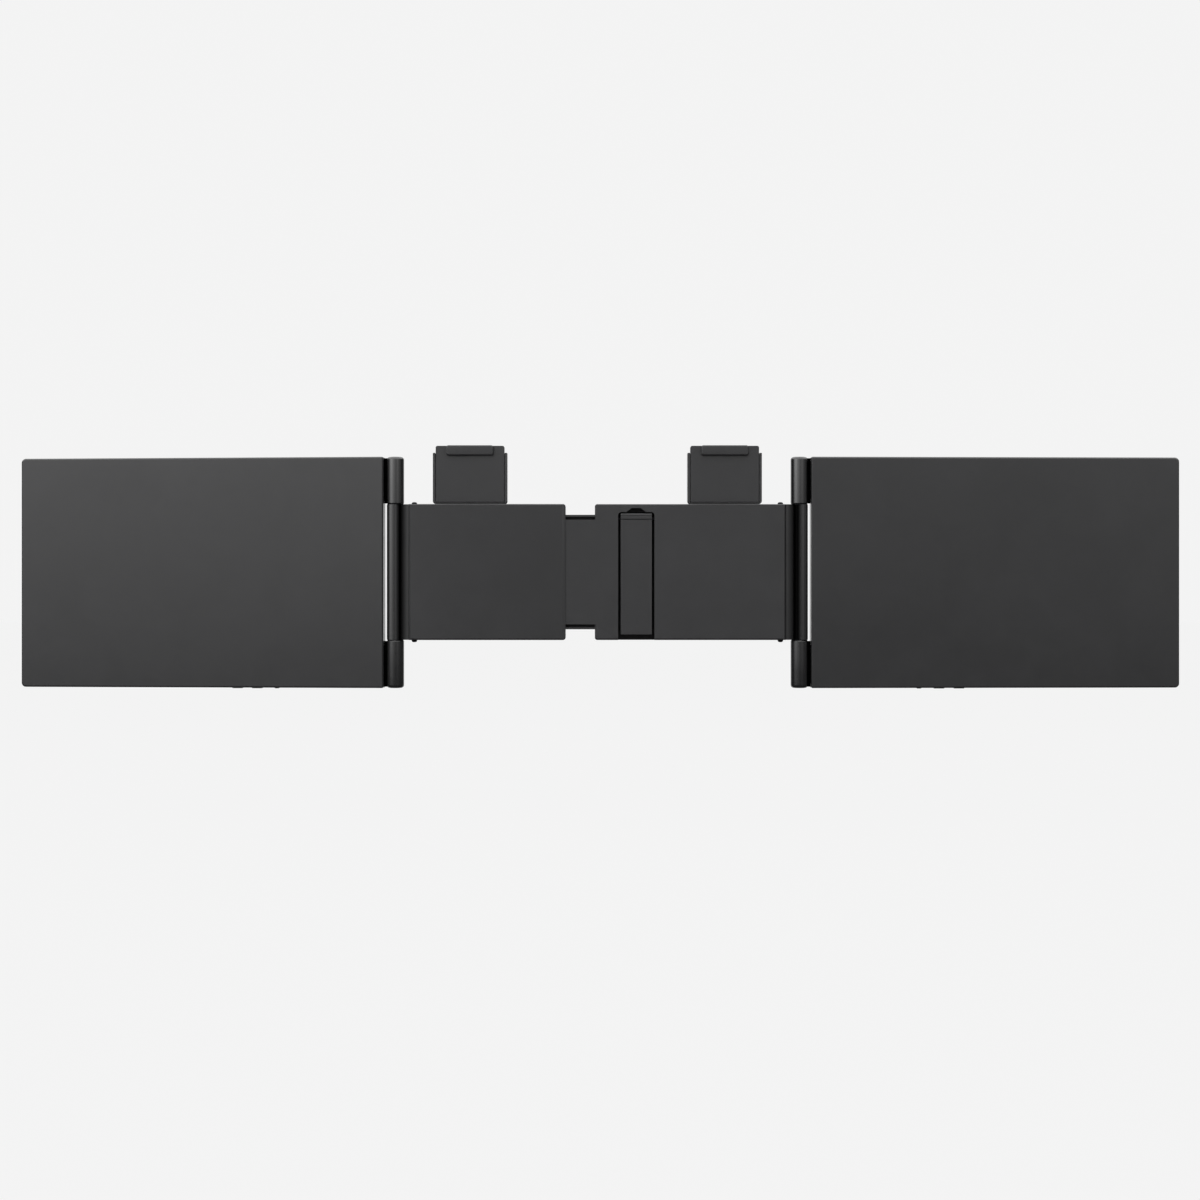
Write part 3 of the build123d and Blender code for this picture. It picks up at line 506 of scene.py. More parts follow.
def bevelled(shape: Shape, edges: list[bmesh.types.BMEdge], width: float, segments: int) -> list[Any]:
    """Rounds some edges of a shape and gives the new faces."""
    return bmesh.ops.bevel(shape, geom=edges, offset=width, offset_type="OFFSET", segments=segments,
                           profile=0.5, affect="EDGES", clamp_overlap=True, loop_slide=True)["faces"]


def extrude(shape: Shape, ring: list[bmesh.types.BMVert], way: Triple) -> None:
    """Closes a ring of vertices to a face and draws it out to a prism."""
    made = bmesh.ops.extrude_face_region(shape, geom=[shape.faces.new(ring)])
    moved = [v for v in made["geom"] if isinstance(v, bmesh.types.BMVert)]
    bmesh.ops.translate(shape, verts=moved, vec=way)
    bmesh.ops.recalc_face_normals(shape, faces=shape.faces[:])


def ease_edges(shape: Shape, width: float, sharp: float = 34.0) -> None:
    """Rounds the outer edges of a merged shape and marks the new faces in its "edge" attribute.

    Flat and curved faces keep their own shading: edges beside an eased edge or a rim stay sharp.
    Edges are rounded where their angle is more than "sharp" degrees.
    """
    layer = shape.faces.layers.float.new("edge")
    rim = shape.faces.layers.int.get("rim") or shape.faces.layers.int.new("rim")
    limit = math.radians(sharp)
    edges = [e for e in shape.edges if e.is_manifold and e.calc_face_angle_signed(0.0) > limit]
    eased = set(bevelled(shape, edges, width, segments=2))
    for face in shape.faces:
        face.smooth = True
        face[layer] = 1.0 if face in eased else 0.0
    for edge in shape.edges:
        kinds = {(face in eased, face[rim]) for face in edge.link_faces}
        edge.smooth = edge.is_manifold and len(kinds) == 1 and edge.calc_face_angle(0.0) < CREASE


def round_rim(shape: Shape, width: float) -> None:
    """Rounds the border of a merged shape's widest rear face, more than its other edges."""
    rear = max((f for f in shape.faces if f.normal.y < REARWARD), key=lambda f: f.calc_area())
    point, normal = rear.calc_center_median(), rear.normal.copy()
    flat = {f for f in shape.faces
            if f.normal.dot(normal) > PARALLEL and abs((f.calc_center_median() - point).dot(normal)) < LEVEL}
    border = [e for e in shape.edges if e.is_manifold and len(flat.intersection(e.link_faces)) == 1
              and RIM_ANGLES[0] < e.calc_face_angle_signed(0.0) < RIM_ANGLES[1]]
    layer = shape.faces.layers.int.new("rim")
    for face in bevelled(shape, border, width, segments=4):
        face[layer] = 1


def merged(node: str) -> Shape:
    """A node's mesh with its loose triangles joined and flat faces made whole."""
    shape = bmesh.new()
    shape.from_mesh(frame["nodes"][node].data)
    bmesh.ops.remove_doubles(shape, verts=shape.verts[:], dist=WELD)
    bmesh.ops.dissolve_degenerate(shape, dist=SLIVER, edges=shape.edges[:])
    bmesh.ops.dissolve_limit(shape, angle_limit=FLAT, verts=shape.verts[:], edges=shape.edges[:])
    return shape


def eased_copy(node: str, width: float, rim: float = 0.0) -> Piece:
    """A copy of a node with eased edges, or with plain ones where easing would spoil the form.

    The rim, if any, is how far the rounding reaches onto the rear face.
    """
    shape = merged(node)
    volume = shape.calc_volume()
    if rim:
        round_rim(shape, rim)
    ease_edges(shape, width)
    if not VOLUMES[0] * volume < shape.calc_volume() < VOLUMES[1] * volume:
        LOG.info("%s keeps its plain edges", node)
        shape.free()
        shape = merged(node)
        shape.faces.layers.float.new("edge")
    return as_piece(node + ".dressed", shape)


class Recesses:
    """Finds how much of its own surroundings hides each face of a piece; the finishes paint shade from this
    share.
    """

    RAYS = 24          # from each triangle, spread as the light that falls on it
    REACH = 14.0 * MM  # how near a surface has to be to hide another
    LIFT = 0.03 * MM   # start of a ray over its triangle
    NO_AREA = 1e-12    # keeps a face without area from a division by zero

    def __init__(self) -> None:
        """Picks the rays and keeps one tree of triangles for each set of bodies."""
        golden = math.pi * (3.0 - math.sqrt(5.0))
        self.rays = []
        for index in range(self.RAYS):
            radius = math.sqrt((index + 0.5) / self.RAYS)
            angle = index * golden
            self.rays.append(Vector((radius * math.cos(angle), radius * math.sin(angle),
                                     math.sqrt(1.0 - radius * radius))))
        self._trees: dict[tuple[str, ...], BVHTree] = {}

    def around(self, bodies: tuple[str, ...]) -> BVHTree:
        """The triangles of all CAD nodes on some bodies."""
        if bodies not in self._trees:
            shape = bmesh.new()
            for node in frame["nodes"].values():
                if node["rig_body"] in bodies:
                    shape.from_mesh(node.data)
            self._trees[bodies] = BVHTree.FromBMesh(shape)
            shape.free()
        return self._trees[bodies]

    def mark_own(self, piece: Piece) -> None:
        """Marks a piece that only hides itself."""
        shape = bmesh.new()
        shape.from_mesh(piece.data)
        self.mark(piece, BVHTree.FromBMesh(shape))
        shape.free()

    def mark(self, piece: Piece, tree: BVHTree) -> None:
        """Writes the share of each face that a tree's triangles hide to the piece's "deep" attribute."""
        mesh = piece.data
        mesh.calc_loop_triangles()
        hidden, area = [0.0] * len(mesh.polygons), [self.NO_AREA] * len(mesh.polygons)
        for part in mesh.loop_triangles:
            turn = part.normal.to_track_quat("Z", "Y")
            start = Vector(part.center) + part.normal * self.LIFT
            hits = sum(tree.ray_cast(start, turn @ ray, self.REACH)[0] is not None for ray in self.rays)
            hidden[part.polygon_index] += part.area * hits / self.RAYS
            area[part.polygon_index] += part.area
        deep = mesh.attributes.new("deep", "FLOAT", "FACE")
        deep.data.foreach_set("value", [share / whole for share, whole in zip(hidden, area)])


def rounded_sheet(name: str, low: Vector, high: Vector, radius: float, ease: float, steps: int = 6) -> Piece:
    """A flat sheet across Y between two points, with eased edges and corners of so many steps."""
    shape = bmesh.new()
    ring = []
    corners = [(high.x - radius, high.z - radius, 0), (low.x + radius, high.z - radius, 90),
               (low.x + radius, low.z + radius, 180), (high.x - radius, low.z + radius, 270)]
    for x, z, first in corners:
        for step in range(steps + 1):
            angle = math.radians(first + 90 * step / steps)
            corner = x + radius * math.cos(angle), low.y, z + radius * math.sin(angle)
            ring.append(shape.verts.new(corner))
    extrude(shape, ring, (0.0, high.y - low.y, 0.0))
    ease_edges(shape, ease)
    return as_piece(name, shape)


# ---- repeated forms --------------------------------------
class Grower:
    """Geometry-node trees for ribs and springs, and the way to turn their result into plain meshes."""

    BAR_SIDES = 12
    WIRE_SIDES = 8
    TURN_STEPS = 20

    def __init__(self) -> None:
        """Builds the trees."""
        self.ribs = self._ribs()
        self.coil = self._coil()

    @staticmethod
    def _tree(name: str, inputs: dict[str, str]) -> tuple[Tree, Any]:
        """Makes an empty geometry tree and gives it with its input sockets."""
        tree = bpy.data.node_groups.new(name, "GeometryNodeTree")
        for key, kind in inputs.items():
            tree.interface.new_socket(key, in_out="INPUT", socket_type="NodeSocket" + kind)
        tree.interface.new_socket("Geometry", in_out="OUTPUT", socket_type="NodeSocketGeometry")
        return tree, tree.nodes.new("NodeGroupInput").outputs

    @staticmethod
    def _end(tree: Tree, geometry: Socket, material: Socket) -> None:
        """Ends a tree with real meshes instead of instances, smooth and with their material."""
        real = add(tree, "GeometryNodeRealizeInstances", {"Geometry": geometry})
        smooth = add(tree, "GeometryNodeSetShadeSmooth", {"Geometry": real})
        done = add(tree, "GeometryNodeSetMaterial", {"Geometry": smooth, "Material": material})
        tree.links.new(done, tree.nodes.new("NodeGroupOutput").inputs[0])

    def _ribs(self) -> Tree:
        """A row of equal bars with an oval section; Size is their thickness both ways and their length."""
        tree, given = self._tree("Row of ribs", {
            "Count": "Int", "Start": "Vector", "Step": "Vector", "Size": "Vector", "Turn": "Rotation",
            "Material": "Material"})
        bar = add(tree, "GeometryNodeMeshCylinder", {"Vertices": self.BAR_SIDES, "Radius": 0.5, "Depth": 1.0})
        points = add(tree, "GeometryNodeMeshLine", {
            "Count": given["Count"], "Start Location": given["Start"], "Offset": given["Step"]})
        row = add(tree, "GeometryNodeInstanceOnPoints", {
            "Points": points, "Instance": bar, "Rotation": given["Turn"], "Scale": given["Size"]})
        self._end(tree, row, given["Material"])
        return tree

    def _coil(self) -> Tree:
        """A wound spring with a loop at each end."""
        tree, given = self._tree("Wound spring", {
            "Turns": "Float", "Radius": "Float", "Wire": "Float", "Height": "Float", "Foot": "Vector",
            "Loop": "Float", "Material": "Material"})
        wire = add(tree, "GeometryNodeCurvePrimitiveCircle", {
            "Resolution": self.WIRE_SIDES, "Radius": given["Wire"]})
        spiral = add(tree, "GeometryNodeCurveSpiral", {
            "Resolution": self.TURN_STEPS, "Rotations": given["Turns"], "Start Radius": given["Radius"],
            "End Radius": given["Radius"], "Height": given["Height"]})
        coil = add(tree, "GeometryNodeCurveToMesh", {
            "Curve": spiral, "Profile Curve": wire, "Fill Caps": True})
        ring = add(tree, "GeometryNodeCurvePrimitiveCircle", {
            "Resolution": self.TURN_STEPS, "Radius": given["Loop"]})
        loop = add(tree, "GeometryNodeCurveToMesh", {"Curve": ring, "Profile Curve": wire})
        stood = add(tree, "GeometryNodeTransform", {
            "Geometry": loop, "Rotation": Euler((math.pi / 2, 0, 0))})
        reach = add(tree, "ShaderNodeMath", {0: given["Height"], 1: given["Loop"]})
        above = add(tree, "ShaderNodeCombineXYZ", {2: reach})
        below = add(tree, "ShaderNodeCombineXYZ", {2: times(tree, given["Loop"], -1.0)})
        upper = add(tree, "GeometryNodeTransform", {"Geometry": stood, "Translation": above})
        lower = add(tree, "GeometryNodeTransform", {"Geometry": stood, "Translation": below})
        joined = tree.nodes.new("GeometryNodeJoinGeometry")
        for part in (coil, upper, lower):
            tree.links.new(part, joined.inputs[0])
        placed = add(tree, "GeometryNodeTransform", {
            "Geometry": joined.outputs[0], "Translation": given["Foot"]})
        self._end(tree, placed, given["Material"])
        return tree

    def grow(self, tree: Tree, name: str, values: dict[str, Any]) -> Piece:
        """Runs a tree with a value for each of its inputs and keeps the result as a plain mesh."""
        piece = new_piece(name, bpy.data.meshes.new(name))
        modifier = piece.modifiers.new("grow", "NODES")
        modifier.node_group = tree
        for item in tree.interface.items_tree:
            if item.in_out == "INPUT":
                modifier[item.identifier] = values[item.name]
        graph = bpy.context.evaluated_depsgraph_get()
        mesh = bpy.data.meshes.new_from_object(piece.evaluated_get(graph), depsgraph=graph)
        piece.modifiers.clear()
        piece.data = mesh
        return piece


# ---- sub-assemblies --------------------------------------
@dataclass
class SubAssembly:
    """What the sub-assemblies share: their half, the finishes and the grown forms."""

    side: Side
    palette: Palette
    grower: Grower
    recesses: Recesses

    DRESSED = {}  # slot, width of the eased edges and reach of the rim, by this half's node
    KEPT = {}     # slot by this half's node

    def build(self) -> None:
        """Dresses the nodes that keep their form."""
        for piece, (slot, *widths) in self.DRESSED.items():
            self.dress(self.side.named(piece), slot, *widths)
        for piece, slot in self.KEPT.items():
            self.keep(self.side.named(piece), slot)

    def keep(self, node: str, slot: Slot) -> None:
        """Shows a CAD node as it is, in a slot's finish."""
        self.palette.paint(frame["nodes"][node], slot)
        LOG.info("%s: node kept, %s", node, slot.value)

    def around(self, body: str) -> tuple[str, ...]:
        """Bodies that stand round the pieces of a body in every pose."""
        return (body,)

    def dress(self, node: str, slot: Slot, width: float, rim: float = 0.0) -> Piece:
        """Shows a node by a copy with eased edges, a rounder rim if asked, and painted shade in its recesses.
        """
        body = frame["nodes"][node]["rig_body"]
        piece = eased_copy(node, width, rim)
        self.recesses.mark(piece, self.recesses.around(self.around(body)))
        self.mount(piece, slot, body)
        self.keep(node, slot)
        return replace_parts(piece, node)

    def mount(self, piece: Piece, slot: Slot, body: str) -> None:
        """Paints a new piece in a slot's finish and puts it on its body."""
        self.palette.paint(piece, slot)
        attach(piece, body)
        LOG.info("%s: %d faces on %s", piece.name, len(piece.data.polygons), body)

    def row(self, name: str, slot: Slot, body: str, values: dict[str, Any]) -> None:
        """Adds a row of equal bars to a body; they lie along X unless "Turn" says otherwise."""
        along = {"Turn": (0.0, math.pi / 2, 0.0), "Material": self.palette[slot]}
        self.mount(self.grower.grow(self.grower.ribs, name, along | values), slot, body)


@dataclass
class Arm(SubAssembly):
    """One arm of the bracket: shell, cover, ribbed lid pad, screws and link pin."""

    DRESSED = {"rear_shell": (Slot.SHELL, 0.25 * MM, 0.4 * MM), "front_cover": (Slot.SHELL, 0.25 * MM),
               "link_pin": (Slot.DARK_STEEL, 0.1 * MM)}
    KEPT = {"cover_screws": Slot.DARK_STEEL}

    rib_pitch: float = 4.0 * MM
    rib_width: float = 1.6 * MM
    rib_rise: float = 0.35 * MM
    pad_margin: float = 4.0 * MM
    pad_corner: float = 1.6 * MM

    def around(self, body: str) -> tuple[str, ...]:
        """The arm's own body, its clip and, on the right, the kickstand."""
        return (body, self.side.named("clip")) + (("kickstand",) if self.side is Side.RIGHT else ())

    def build(self) -> None:
        """Dresses the arm's nodes."""
        super().build()
        self.lid_pad()
        if self.side is Side.LEFT:
            self.keep("left_slide_liners", Slot.ACETAL)
        else:
            self.dress("tongue_cover", Slot.SHELL, 0.25 * MM)
            self.keep("slide_stop_screw", Slot.STEEL)

    def lid_pad(self) -> None:
        """Pad of silicone rubber whose rows of ribs end at the face that meets the lid."""
        node = self.side.named("lid_pad")
        low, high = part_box(node)
        back = Vector((high.x, high.y - self.rib_rise, high.z))
        sheet = rounded_sheet(node + ".sheet", low, back, self.pad_corner, 0.15 * MM)
        self.mount(sheet, Slot.PAD, self.side.named("arm"))
        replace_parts(sheet, node)
        rows = int((high.z - low.z - 2 * self.pad_margin) / self.rib_pitch) + 1
        first = (low.z + high.z) / 2 - (rows - 1) * self.rib_pitch / 2
        length = high.x - low.x - 2 * self.pad_margin
        self.row(node + ".ribs", Slot.PAD, self.side.named("arm"), {
            "Count": rows, "Start": (low.x + self.pad_margin + length / 2, back.y, first),
            "Step": (0.0, 0.0, self.rib_pitch), "Size": (self.rib_width, 2 * self.rib_rise, length)})


@dataclass
class DoubleHinge(SubAssembly):
    """Link between the arm's pin and the screen's shaft, with friction washers and barrels.

    neck_x: where the neck begins, at the arm's end; it stays level for neck_flat.
    neck_rear, neck_front: Y of its faces.
    neck_reach, neck_fall: half axes in X and Y of the ellipse that leads down to the knuckle.
    knuckle, knuckle_radius: centre in X and Y, and radius, of the round end.
    fade: how far the dark of the valley reaches over the knuckle's back.
    lean: how much further from the arm the valley's darkest line lies.
    """

    DRESSED = {"upper_barrel": (Slot.HINGE, 0.2 * MM), "lower_barrel": (Slot.HINGE, 0.2 * MM)}
    KEPT = {"hinge_shaft": Slot.STEEL, "friction_washers": Slot.DARK_STEEL}
    NECK_ANGLES = range(90, 0, -10)
    KNUCKLE_STEPS = 30
    OVERLAP, ON_PLANE = 0.05 * MM, 1e-7

    edge: float = 0.2 * MM
    neck_x: float = 121.5 * MM
    neck_flat: float = 0.4 * MM
    neck_rear: float = -11.7 * MM
    neck_front: float = -2.8 * MM
    neck_reach: float = 5.1 * MM
    neck_fall: float = 3.4 * MM
    knuckle: Pair = (131.45 * MM, -6.6 * MM)
    knuckle_radius: float = 4.55 * MM
    fade: float = 2.7 * MM
    lean: float = 0.0

    def build(self) -> None:
        """Dresses the hinge's nodes."""
        self.link()
        super().build()

    def plan(self) -> list[Pair]:
        """Outline of the neck and the knuckle in X and Y, with the deep valley between them."""
        bend, floor = self.neck_x + self.neck_flat, self.neck_rear + self.neck_fall
        points = [(self.neck_x, self.neck_front), (self.neck_x, self.neck_rear)]
        for angle in map(math.radians, self.NECK_ANGLES):
            points.append((bend + self.neck_reach * math.cos(angle),
                           floor - self.neck_fall * math.sin(angle)))
        (x, y), radius = self.knuckle, self.knuckle_radius
        first = math.asin((floor - y) / radius)
        last = math.asin((self.neck_front - y) / radius)
        for step in range(self.KNUCKLE_STEPS + 1):
            angle = -math.pi - first + (2 * math.pi + first - last) * step / self.KNUCKLE_STEPS
            points.append((x + radius * math.cos(angle), y + radius * math.sin(angle)))
        return points

    def link(self) -> None:
        """Link: the CAD model's eye up to the arm's end, then a neck that falls to a slim knuckle."""
        node, sign = self.side.named("hinge_link"), self.side.sign
        low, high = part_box(node)
        shape = merged(node)
        cut = bmesh.ops.bisect_plane(
            shape, geom=shape.verts[:] + shape.edges[:] + shape.faces[:], dist=self.ON_PLANE,
            plane_co=(sign * (self.neck_x + self.OVERLAP), 0.0, 0.0), plane_no=(sign, 0.0, 0.0),
            clear_outer=True)
        rim = [e for e in cut["geom_cut"] if isinstance(e, bmesh.types.BMEdge)]
        bmesh.ops.contextual_create(shape, geom=rim)
        ring = [shape.verts.new((sign * x, y, low.z)) for x, y in self.plan()]
        extrude(shape, ring, (0.0, 0.0, high.z - low.z))
        ease_edges(shape, self.edge, sharp=50.0)
        piece = as_piece(node + ".dressed", shape)
        self.recesses.mark_own(piece)
        self.darken_valley(piece)
        self.mount(piece, Slot.HINGE, self.side.named("link"))
        self.keep(node, Slot.HINGE)
        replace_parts(piece, node)

    def darken_valley(self, piece: Piece) -> None:
        """Lets the shade grow from the arm's end and from the knuckle's back down to the valley."""
        reach = self.neck_reach + self.lean
        bottom = self.neck_x + self.neck_flat + reach
        deepest = Palette.FINISHES[Slot.HINGE].shade_high
        deep = piece.data.attributes["deep"].data
        for face in piece.data.polygons:
            x = abs(face.center.x) - bottom
            share = 1.0 - (x / self.fade if x > 0.0 else -x / reach)
            if face.normal.y < 0.0 < share:
                deep[face.index].value = max(deep[face.index].value, deepest * math.sqrt(share))


@dataclass
class Screen(SubAssembly):
    """One portable display: case, front frame, panel, electronics, ports and keys.

    toe: degrees by which the outer edge rests forward.
    axis_x, axis_y: the screen's own hinge axis on the +X side.
    ports, blade: X of the two receptacles, and Y and Z of their blades, with the screen straight out.
    """

    DRESSED = {"rear_cover": (Slot.SCREEN, 0.25 * MM, 1.2 * MM), "bezel": (Slot.BEZEL, 0.2 * MM)}
    KEPT = {"display_panel": Slot.GLASS, "driver_board": Slot.BOARD, "usb_ports": Slot.STEEL,
            "hinge_bracket": Slot.STEEL, "bracket_screws": Slot.DARK_STEEL, "power_button": Slot.BEZEL,
            "plus_button": Slot.BEZEL, "minus_button": Slot.BEZEL}

    toe: float = 0.0
    axis_x: float = 130.5 * MM
    axis_y: float = -6.0 * MM
    ports: Pair = (170.75 * MM, 183.75 * MM)
    blade: Pair = (-5.6 * MM, -72.1 * MM)
    contact_count: int = 12
    contact_pitch: float = 0.5 * MM
    contact_size: Triple = (0.26 * MM, 0.82 * MM, 3.2 * MM)

    @property
    def place(self) -> Matrix:
        """From the screen's own frame, straight out on the +X side, to where it rests."""
        turn = Matrix.Rotation(math.radians(self.toe), 4, "Z")
        there = Matrix.Translation((self.axis_x, self.axis_y, 0.0)) @ turn
        flip = Matrix.Diagonal((self.side.sign, 1.0, 1.0, 1.0))
        return flip @ there @ Matrix.Translation((-self.axis_x, -self.axis_y, 0.0))

    def build(self) -> None:
        """Dresses the screen's nodes."""
        super().build()
        self.contacts()

    def contacts(self) -> None:
        """Row of contacts through the blade of each receptacle, a little proud of both its faces."""
        y, z = self.blade
        step = self.place.to_3x3() @ Vector((self.contact_pitch, 0.0, 0.0))
        for number, x in enumerate(self.ports, 1):
            first = Vector((x - (self.contact_count - 1) * self.contact_pitch / 2, y, z))
            name = f"{self.side.named('usb_ports')}.contacts_{number}"
            self.row(name, Slot.STEEL, self.side.named("screen"), {
                "Count": self.contact_count, "Start": tuple(self.place @ first), "Step": tuple(step),
                "Size": self.contact_size, "Turn": (0.0, 0.0, self.side.sign * math.radians(self.toe))})


@dataclass
class Clip(SubAssembly):
    """Sprung clip over the lid's edge: guide, slider with its hook, grip, finger pad and spring.

    coil_radius, wire, turns: mean radius, half the wire's thickness and number of turns of the spring.
    peg: radius of the pegs that hold its loops.
    grip_rib: thickness both ways of a rib on the grip.
    lining: thickness of the grip.
    """

    DRESSED = {"clip_guide": (Slot.SHELL, 0.25 * MM), "clip_slider": (Slot.SHELL, 0.25 * MM),
               "clip_tab": (Slot.SHELL, 0.15 * MM), "clip_grip": (Slot.PAD, 0.15 * MM)}

    coil_radius: float = 1.0 * MM
    wire: float = 0.25 * MM
    turns: float = 9.0
    peg: float = 0.6 * MM
    grip_ribs: int = 5
    grip_pitch: float = 1.4 * MM
    grip_rib: Pair = (0.5 * MM, 0.7 * MM)
    lining: float = 1.2 * MM

    def build(self) -> None:
        """Dresses the clip's nodes."""
        super().build()
        self.grip()
        self.spring()

    def grip(self) -> None:
        """Ribs of the soft lining, along the lid's edge."""
        node = self.side.named("clip_grip")
        low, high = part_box(node)
        middle = (low.y + high.y - self.lining) / 2
        first = middle - (self.grip_ribs - 1) * self.grip_pitch / 2
        length = high.x - low.x - 2 * self.lining
        self.row(node + ".ribs", Slot.PAD, self.side.named("clip"), {
            "Count": self.grip_ribs, "Start": ((low.x + high.x) / 2, first, high.z - self.lining),
            "Step": (0.0, self.grip_pitch, 0.0), "Size": (*self.grip_rib, length)})

    def spring(self) -> None:
        """Wound spring that stretches between the guide's peg and the slider's."""
        node = self.side.named("clip_spring")
        low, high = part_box(node)
        centre = (low + high) / 2
        loop = self.peg + self.wire + 0.05 * MM
        height = high.z - low.z - 2 * self.wire
        coil = self.grower.grow(self.grower.coil, node + ".wound", {
            "Turns": self.turns, "Radius": self.coil_radius, "Wire": self.wire, "Height": height,
            "Foot": (centre.x, centre.y, low.z + self.wire), "Loop": loop,
            "Material": self.palette[Slot.STEEL]})
        self.palette.paint(coil, Slot.STEEL)
        self.keep(node, Slot.STEEL)
        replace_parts(coil, node)
        self.side.named("arm")
        self.side.named("clip")
        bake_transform(coil)
        LOG.info("%s: %d faces, stretches with the clip", coil.name, len(coil.data.polygons))


@dataclass
class Kickstand(SubAssembly):
    """Leg in the right arm's recess, its inner leg, foot, pin and leaf spring."""

    def build(self) -> None:
        """Dresses the kickstand's nodes."""
        self.dress("kickstand_leg", Slot.SHELL, 0.2 * MM)
        self.dress("kickstand_extension", Slot.SHELL, 0.1 * MM)
        self.dress("kickstand_foot", Slot.PAD, 0.1 * MM)
        self.keep("kickstand_pin", Slot.DARK_STEEL)
        self.keep("kickstand_leaf_spring", Slot.STEEL)


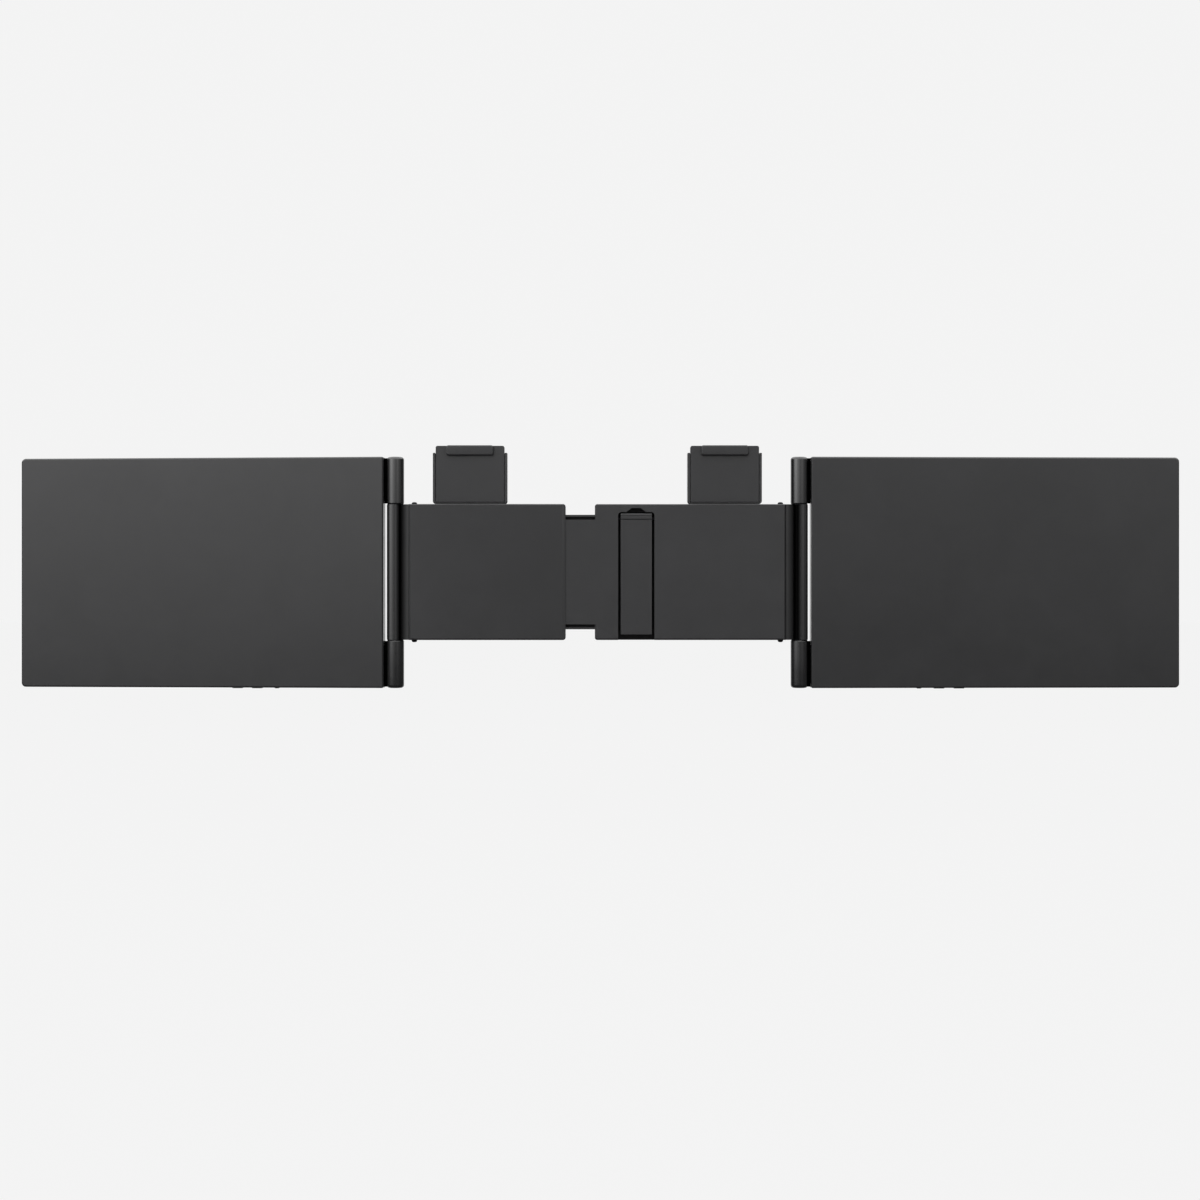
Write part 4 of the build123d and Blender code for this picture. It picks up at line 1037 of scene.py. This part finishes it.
# ---- studio ----------------------------------------------
@dataclass
class Studio:
    """Pale floor, white surroundings, soft lamps and the camera behind the bracket.

    white: level of the surroundings for the eye.
    ambient: level of the soft light from all round.
    shade: level of the dim studio that shiny surfaces see where no box is.
    floor_glow, floor_share: level of the floor for the eye, and how much of it glows instead of being lit.
    """

    LEVELS = ((-0.99, 0.3), (-0.95, 1.2), (-0.86, 1.85), (-0.62, 1.9), (-0.5, 1.15), (-0.34, 1.1),
              (0.0, 0.6), (0.25, 0.46), (0.55, 0.75), (0.7, 0.5), (0.9, 0.25), (0.99, 0.1))
    BEHIND = 0.5, 0.9              # Y of the ways where the studio gives place to white
    OVERHEAD = 0.3, 0.6, 0.0, 2.6  # Z of the ways up to the ceiling's box, and its level
    BEFORE = 0.2, -0.2             # Y where the boxes before the bracket begin; LEVELS is theirs by X
    BELOW_OVERHEAD = 0.6, 0.35     # Z where they give place to the ceiling's box
    FALL = -0.105, 0.14, 0.0, 2.0  # Z over which they grow from the floor up, and their share
    FLOOR_SIZE = 12.0
    FLOOR_TONE = 0.8, 0.8, 0.8, 1.0

    floor_z: float = -0.165
    floor_glow: float = 0.903
    floor_share: float = 0.985
    white: float = 0.9
    ambient: float = 0.35
    shade: float = 0.06
    camera_at: Triple = (0.0017, -1.312, -0.018)
    lens: float = 60.6
    sensor_width: float = 36.0

    def build(self) -> None:
        """Makes the floor, world, lamps and camera."""
        self.world()
        self.floor()
        self.lamp("key", (-1.1, -1.9, 1.3), 1.4, 27.0)
        self.lamp("fill", (1.5, -1.5, 0.5), 1.2, 6.0)
        self.lamp("top", (0.0, -0.3, 1.9), 1.6, 14.0)
        self.camera()

    @staticmethod
    def greatest(tree: Tree, first: Socket, second: Socket) -> Socket:
        """The greater of two values."""
        return add(tree, "ShaderNodeMath", {0: first, 1: second}, operation="MAXIMUM")

    def mirrored(self, tree: Tree) -> Socket:
        """What shiny surfaces see: white behind the bracket, a dim studio with soft boxes before it."""
        way = add(tree, "ShaderNodeTexCoord", out="Generated")
        x, y, z = add(tree, "ShaderNodeSeparateXYZ", {0: way}).node.outputs
        behind = ranged(tree, y, *self.BEHIND)
        over = ranged(tree, z, *self.OVERHEAD)
        ramp = tree.nodes.new("ShaderNodeValToRGB")
        for place, level in self.LEVELS:
            stop = ramp.color_ramp.elements.new((place + 1.0) / 2.0)
            stop.color = (level, level, level, 1.0)
        tree.links.new(ranged(tree, x, -1.0, 1.0), ramp.inputs[0])
        before = times(tree, ranged(tree, y, *self.BEFORE), ranged(tree, z, *self.BELOW_OVERHEAD))
        boxes = times(tree, times(tree, ramp.outputs[0], ranged(tree, z, *self.FALL)), before)
        studio = add(tree, "ShaderNodeMath", {0: self.greatest(tree, over, boxes), 1: self.shade})
        return add(tree, "ShaderNodeMix", {0: behind, 2: studio, 3: self.white})

    def world(self) -> None:
        """White surroundings for the eye, a studio in reflections and a soft level of light."""
        world = bpy.data.worlds.new("Studio")
        bpy.context.scene.world = world
        world.use_nodes = True
        tree = world.node_tree
        tree.nodes.clear()
        path = tree.nodes.new("ShaderNodeLightPath").outputs
        eye = self.greatest(tree, path["Is Camera Ray"], path["Is Transmission Ray"])
        level = add(tree, "ShaderNodeMix", {
            0: path["Is Glossy Ray"], 2: self.ambient, 3: self.mirrored(tree)})
        level = add(tree, "ShaderNodeMix", {0: eye, 2: level, 3: self.white})
        shade = add(tree, "ShaderNodeBackground", {"Color": (1.0, 1.0, 1.0, 1.0), "Strength": level})
        tree.links.new(shade, tree.nodes.new("ShaderNodeOutputWorld").inputs[0])

    def floor(self) -> None:
        """Wide floor, some way under the screens as a desk is; for the eye it glows as a white sweep does."""
        shape = bmesh.new()
        bmesh.ops.create_grid(shape, x_segments=1, y_segments=1, size=self.FLOOR_SIZE)
        floor = as_piece("floor", shape)
        floor.data.transform(Matrix.Translation((0.0, 0.0, self.floor_z)))
        material, tree, inputs = new_material("Pale floor")
        inputs["Base Color"].default_value = self.FLOOR_TONE
        inputs["Roughness"].default_value = 0.9
        inputs["Specular IOR Level"].default_value = 0.0
        path = tree.nodes.new("ShaderNodeLightPath").outputs
        share = self.greatest(tree, path["Is Camera Ray"], path["Is Transmission Ray"])
        glow = add(tree, "ShaderNodeEmission", {"Color": (1.0, 1.0, 1.0, 1.0), "Strength": self.floor_glow})
        lit = tree.nodes["Principled BSDF"].outputs[0]
        both = add(tree, "ShaderNodeMixShader", {0: times(tree, share, self.floor_share), 1: lit, 2: glow})
        tree.links.new(both, tree.nodes["Material Output"].inputs[0])
        floor.data.materials.append(material)
        floor.visible_glossy = False

    @staticmethod
    def lamp(name: str, place: Triple, size: float, power: float) -> None:
        """A square soft box that points at the bracket; size in metres and power in watts."""
        light = bpy.data.lights.new(name, "AREA")
        light.shape, light.size, light.energy = "SQUARE", size, power
        lamp = bpy.data.objects.new(name, light)
        bpy.context.scene.collection.objects.link(lamp)
        lamp.location = place
        lamp.rotation_euler = (-Vector(place)).to_track_quat("-Z", "Y").to_euler()
        lamp.visible_glossy = False

    def camera(self) -> None:
        """Level camera straight behind the bracket."""
        data = bpy.data.cameras.new("camera")
        data.lens, data.sensor_width = self.lens, self.sensor_width
        camera = bpy.data.objects.new("camera", data)
        bpy.context.scene.collection.objects.link(camera)
        camera.location = self.camera_at
        camera.rotation_euler = (math.pi / 2, 0.0, 0.0)
        bpy.context.scene.camera = camera


HALVES = (Side.LEFT, 4.6, 0.0), (Side.RIGHT, 1.8, 2.2 * MM)  # with the screen's toe and the valley's lean


def main() -> None:
    """Builds the sub-assemblies in order, then the studio."""
    logging.basicConfig(level=logging.INFO, format="%(name)s: %(message)s")
    tools = Palette(), Grower(), Recesses()
    for side, toe, lean in HALVES:
        Arm(side, *tools).build()
        DoubleHinge(side, *tools, lean=lean).build()
        Screen(side, *tools, toe=toe).build()
        Clip(side, *tools).build()
    Kickstand(Side.RIGHT, *tools).build()
    Studio().build()
    bpy.context.scene.view_settings.view_transform = "Standard"


if __name__ == "__main__":
    main()
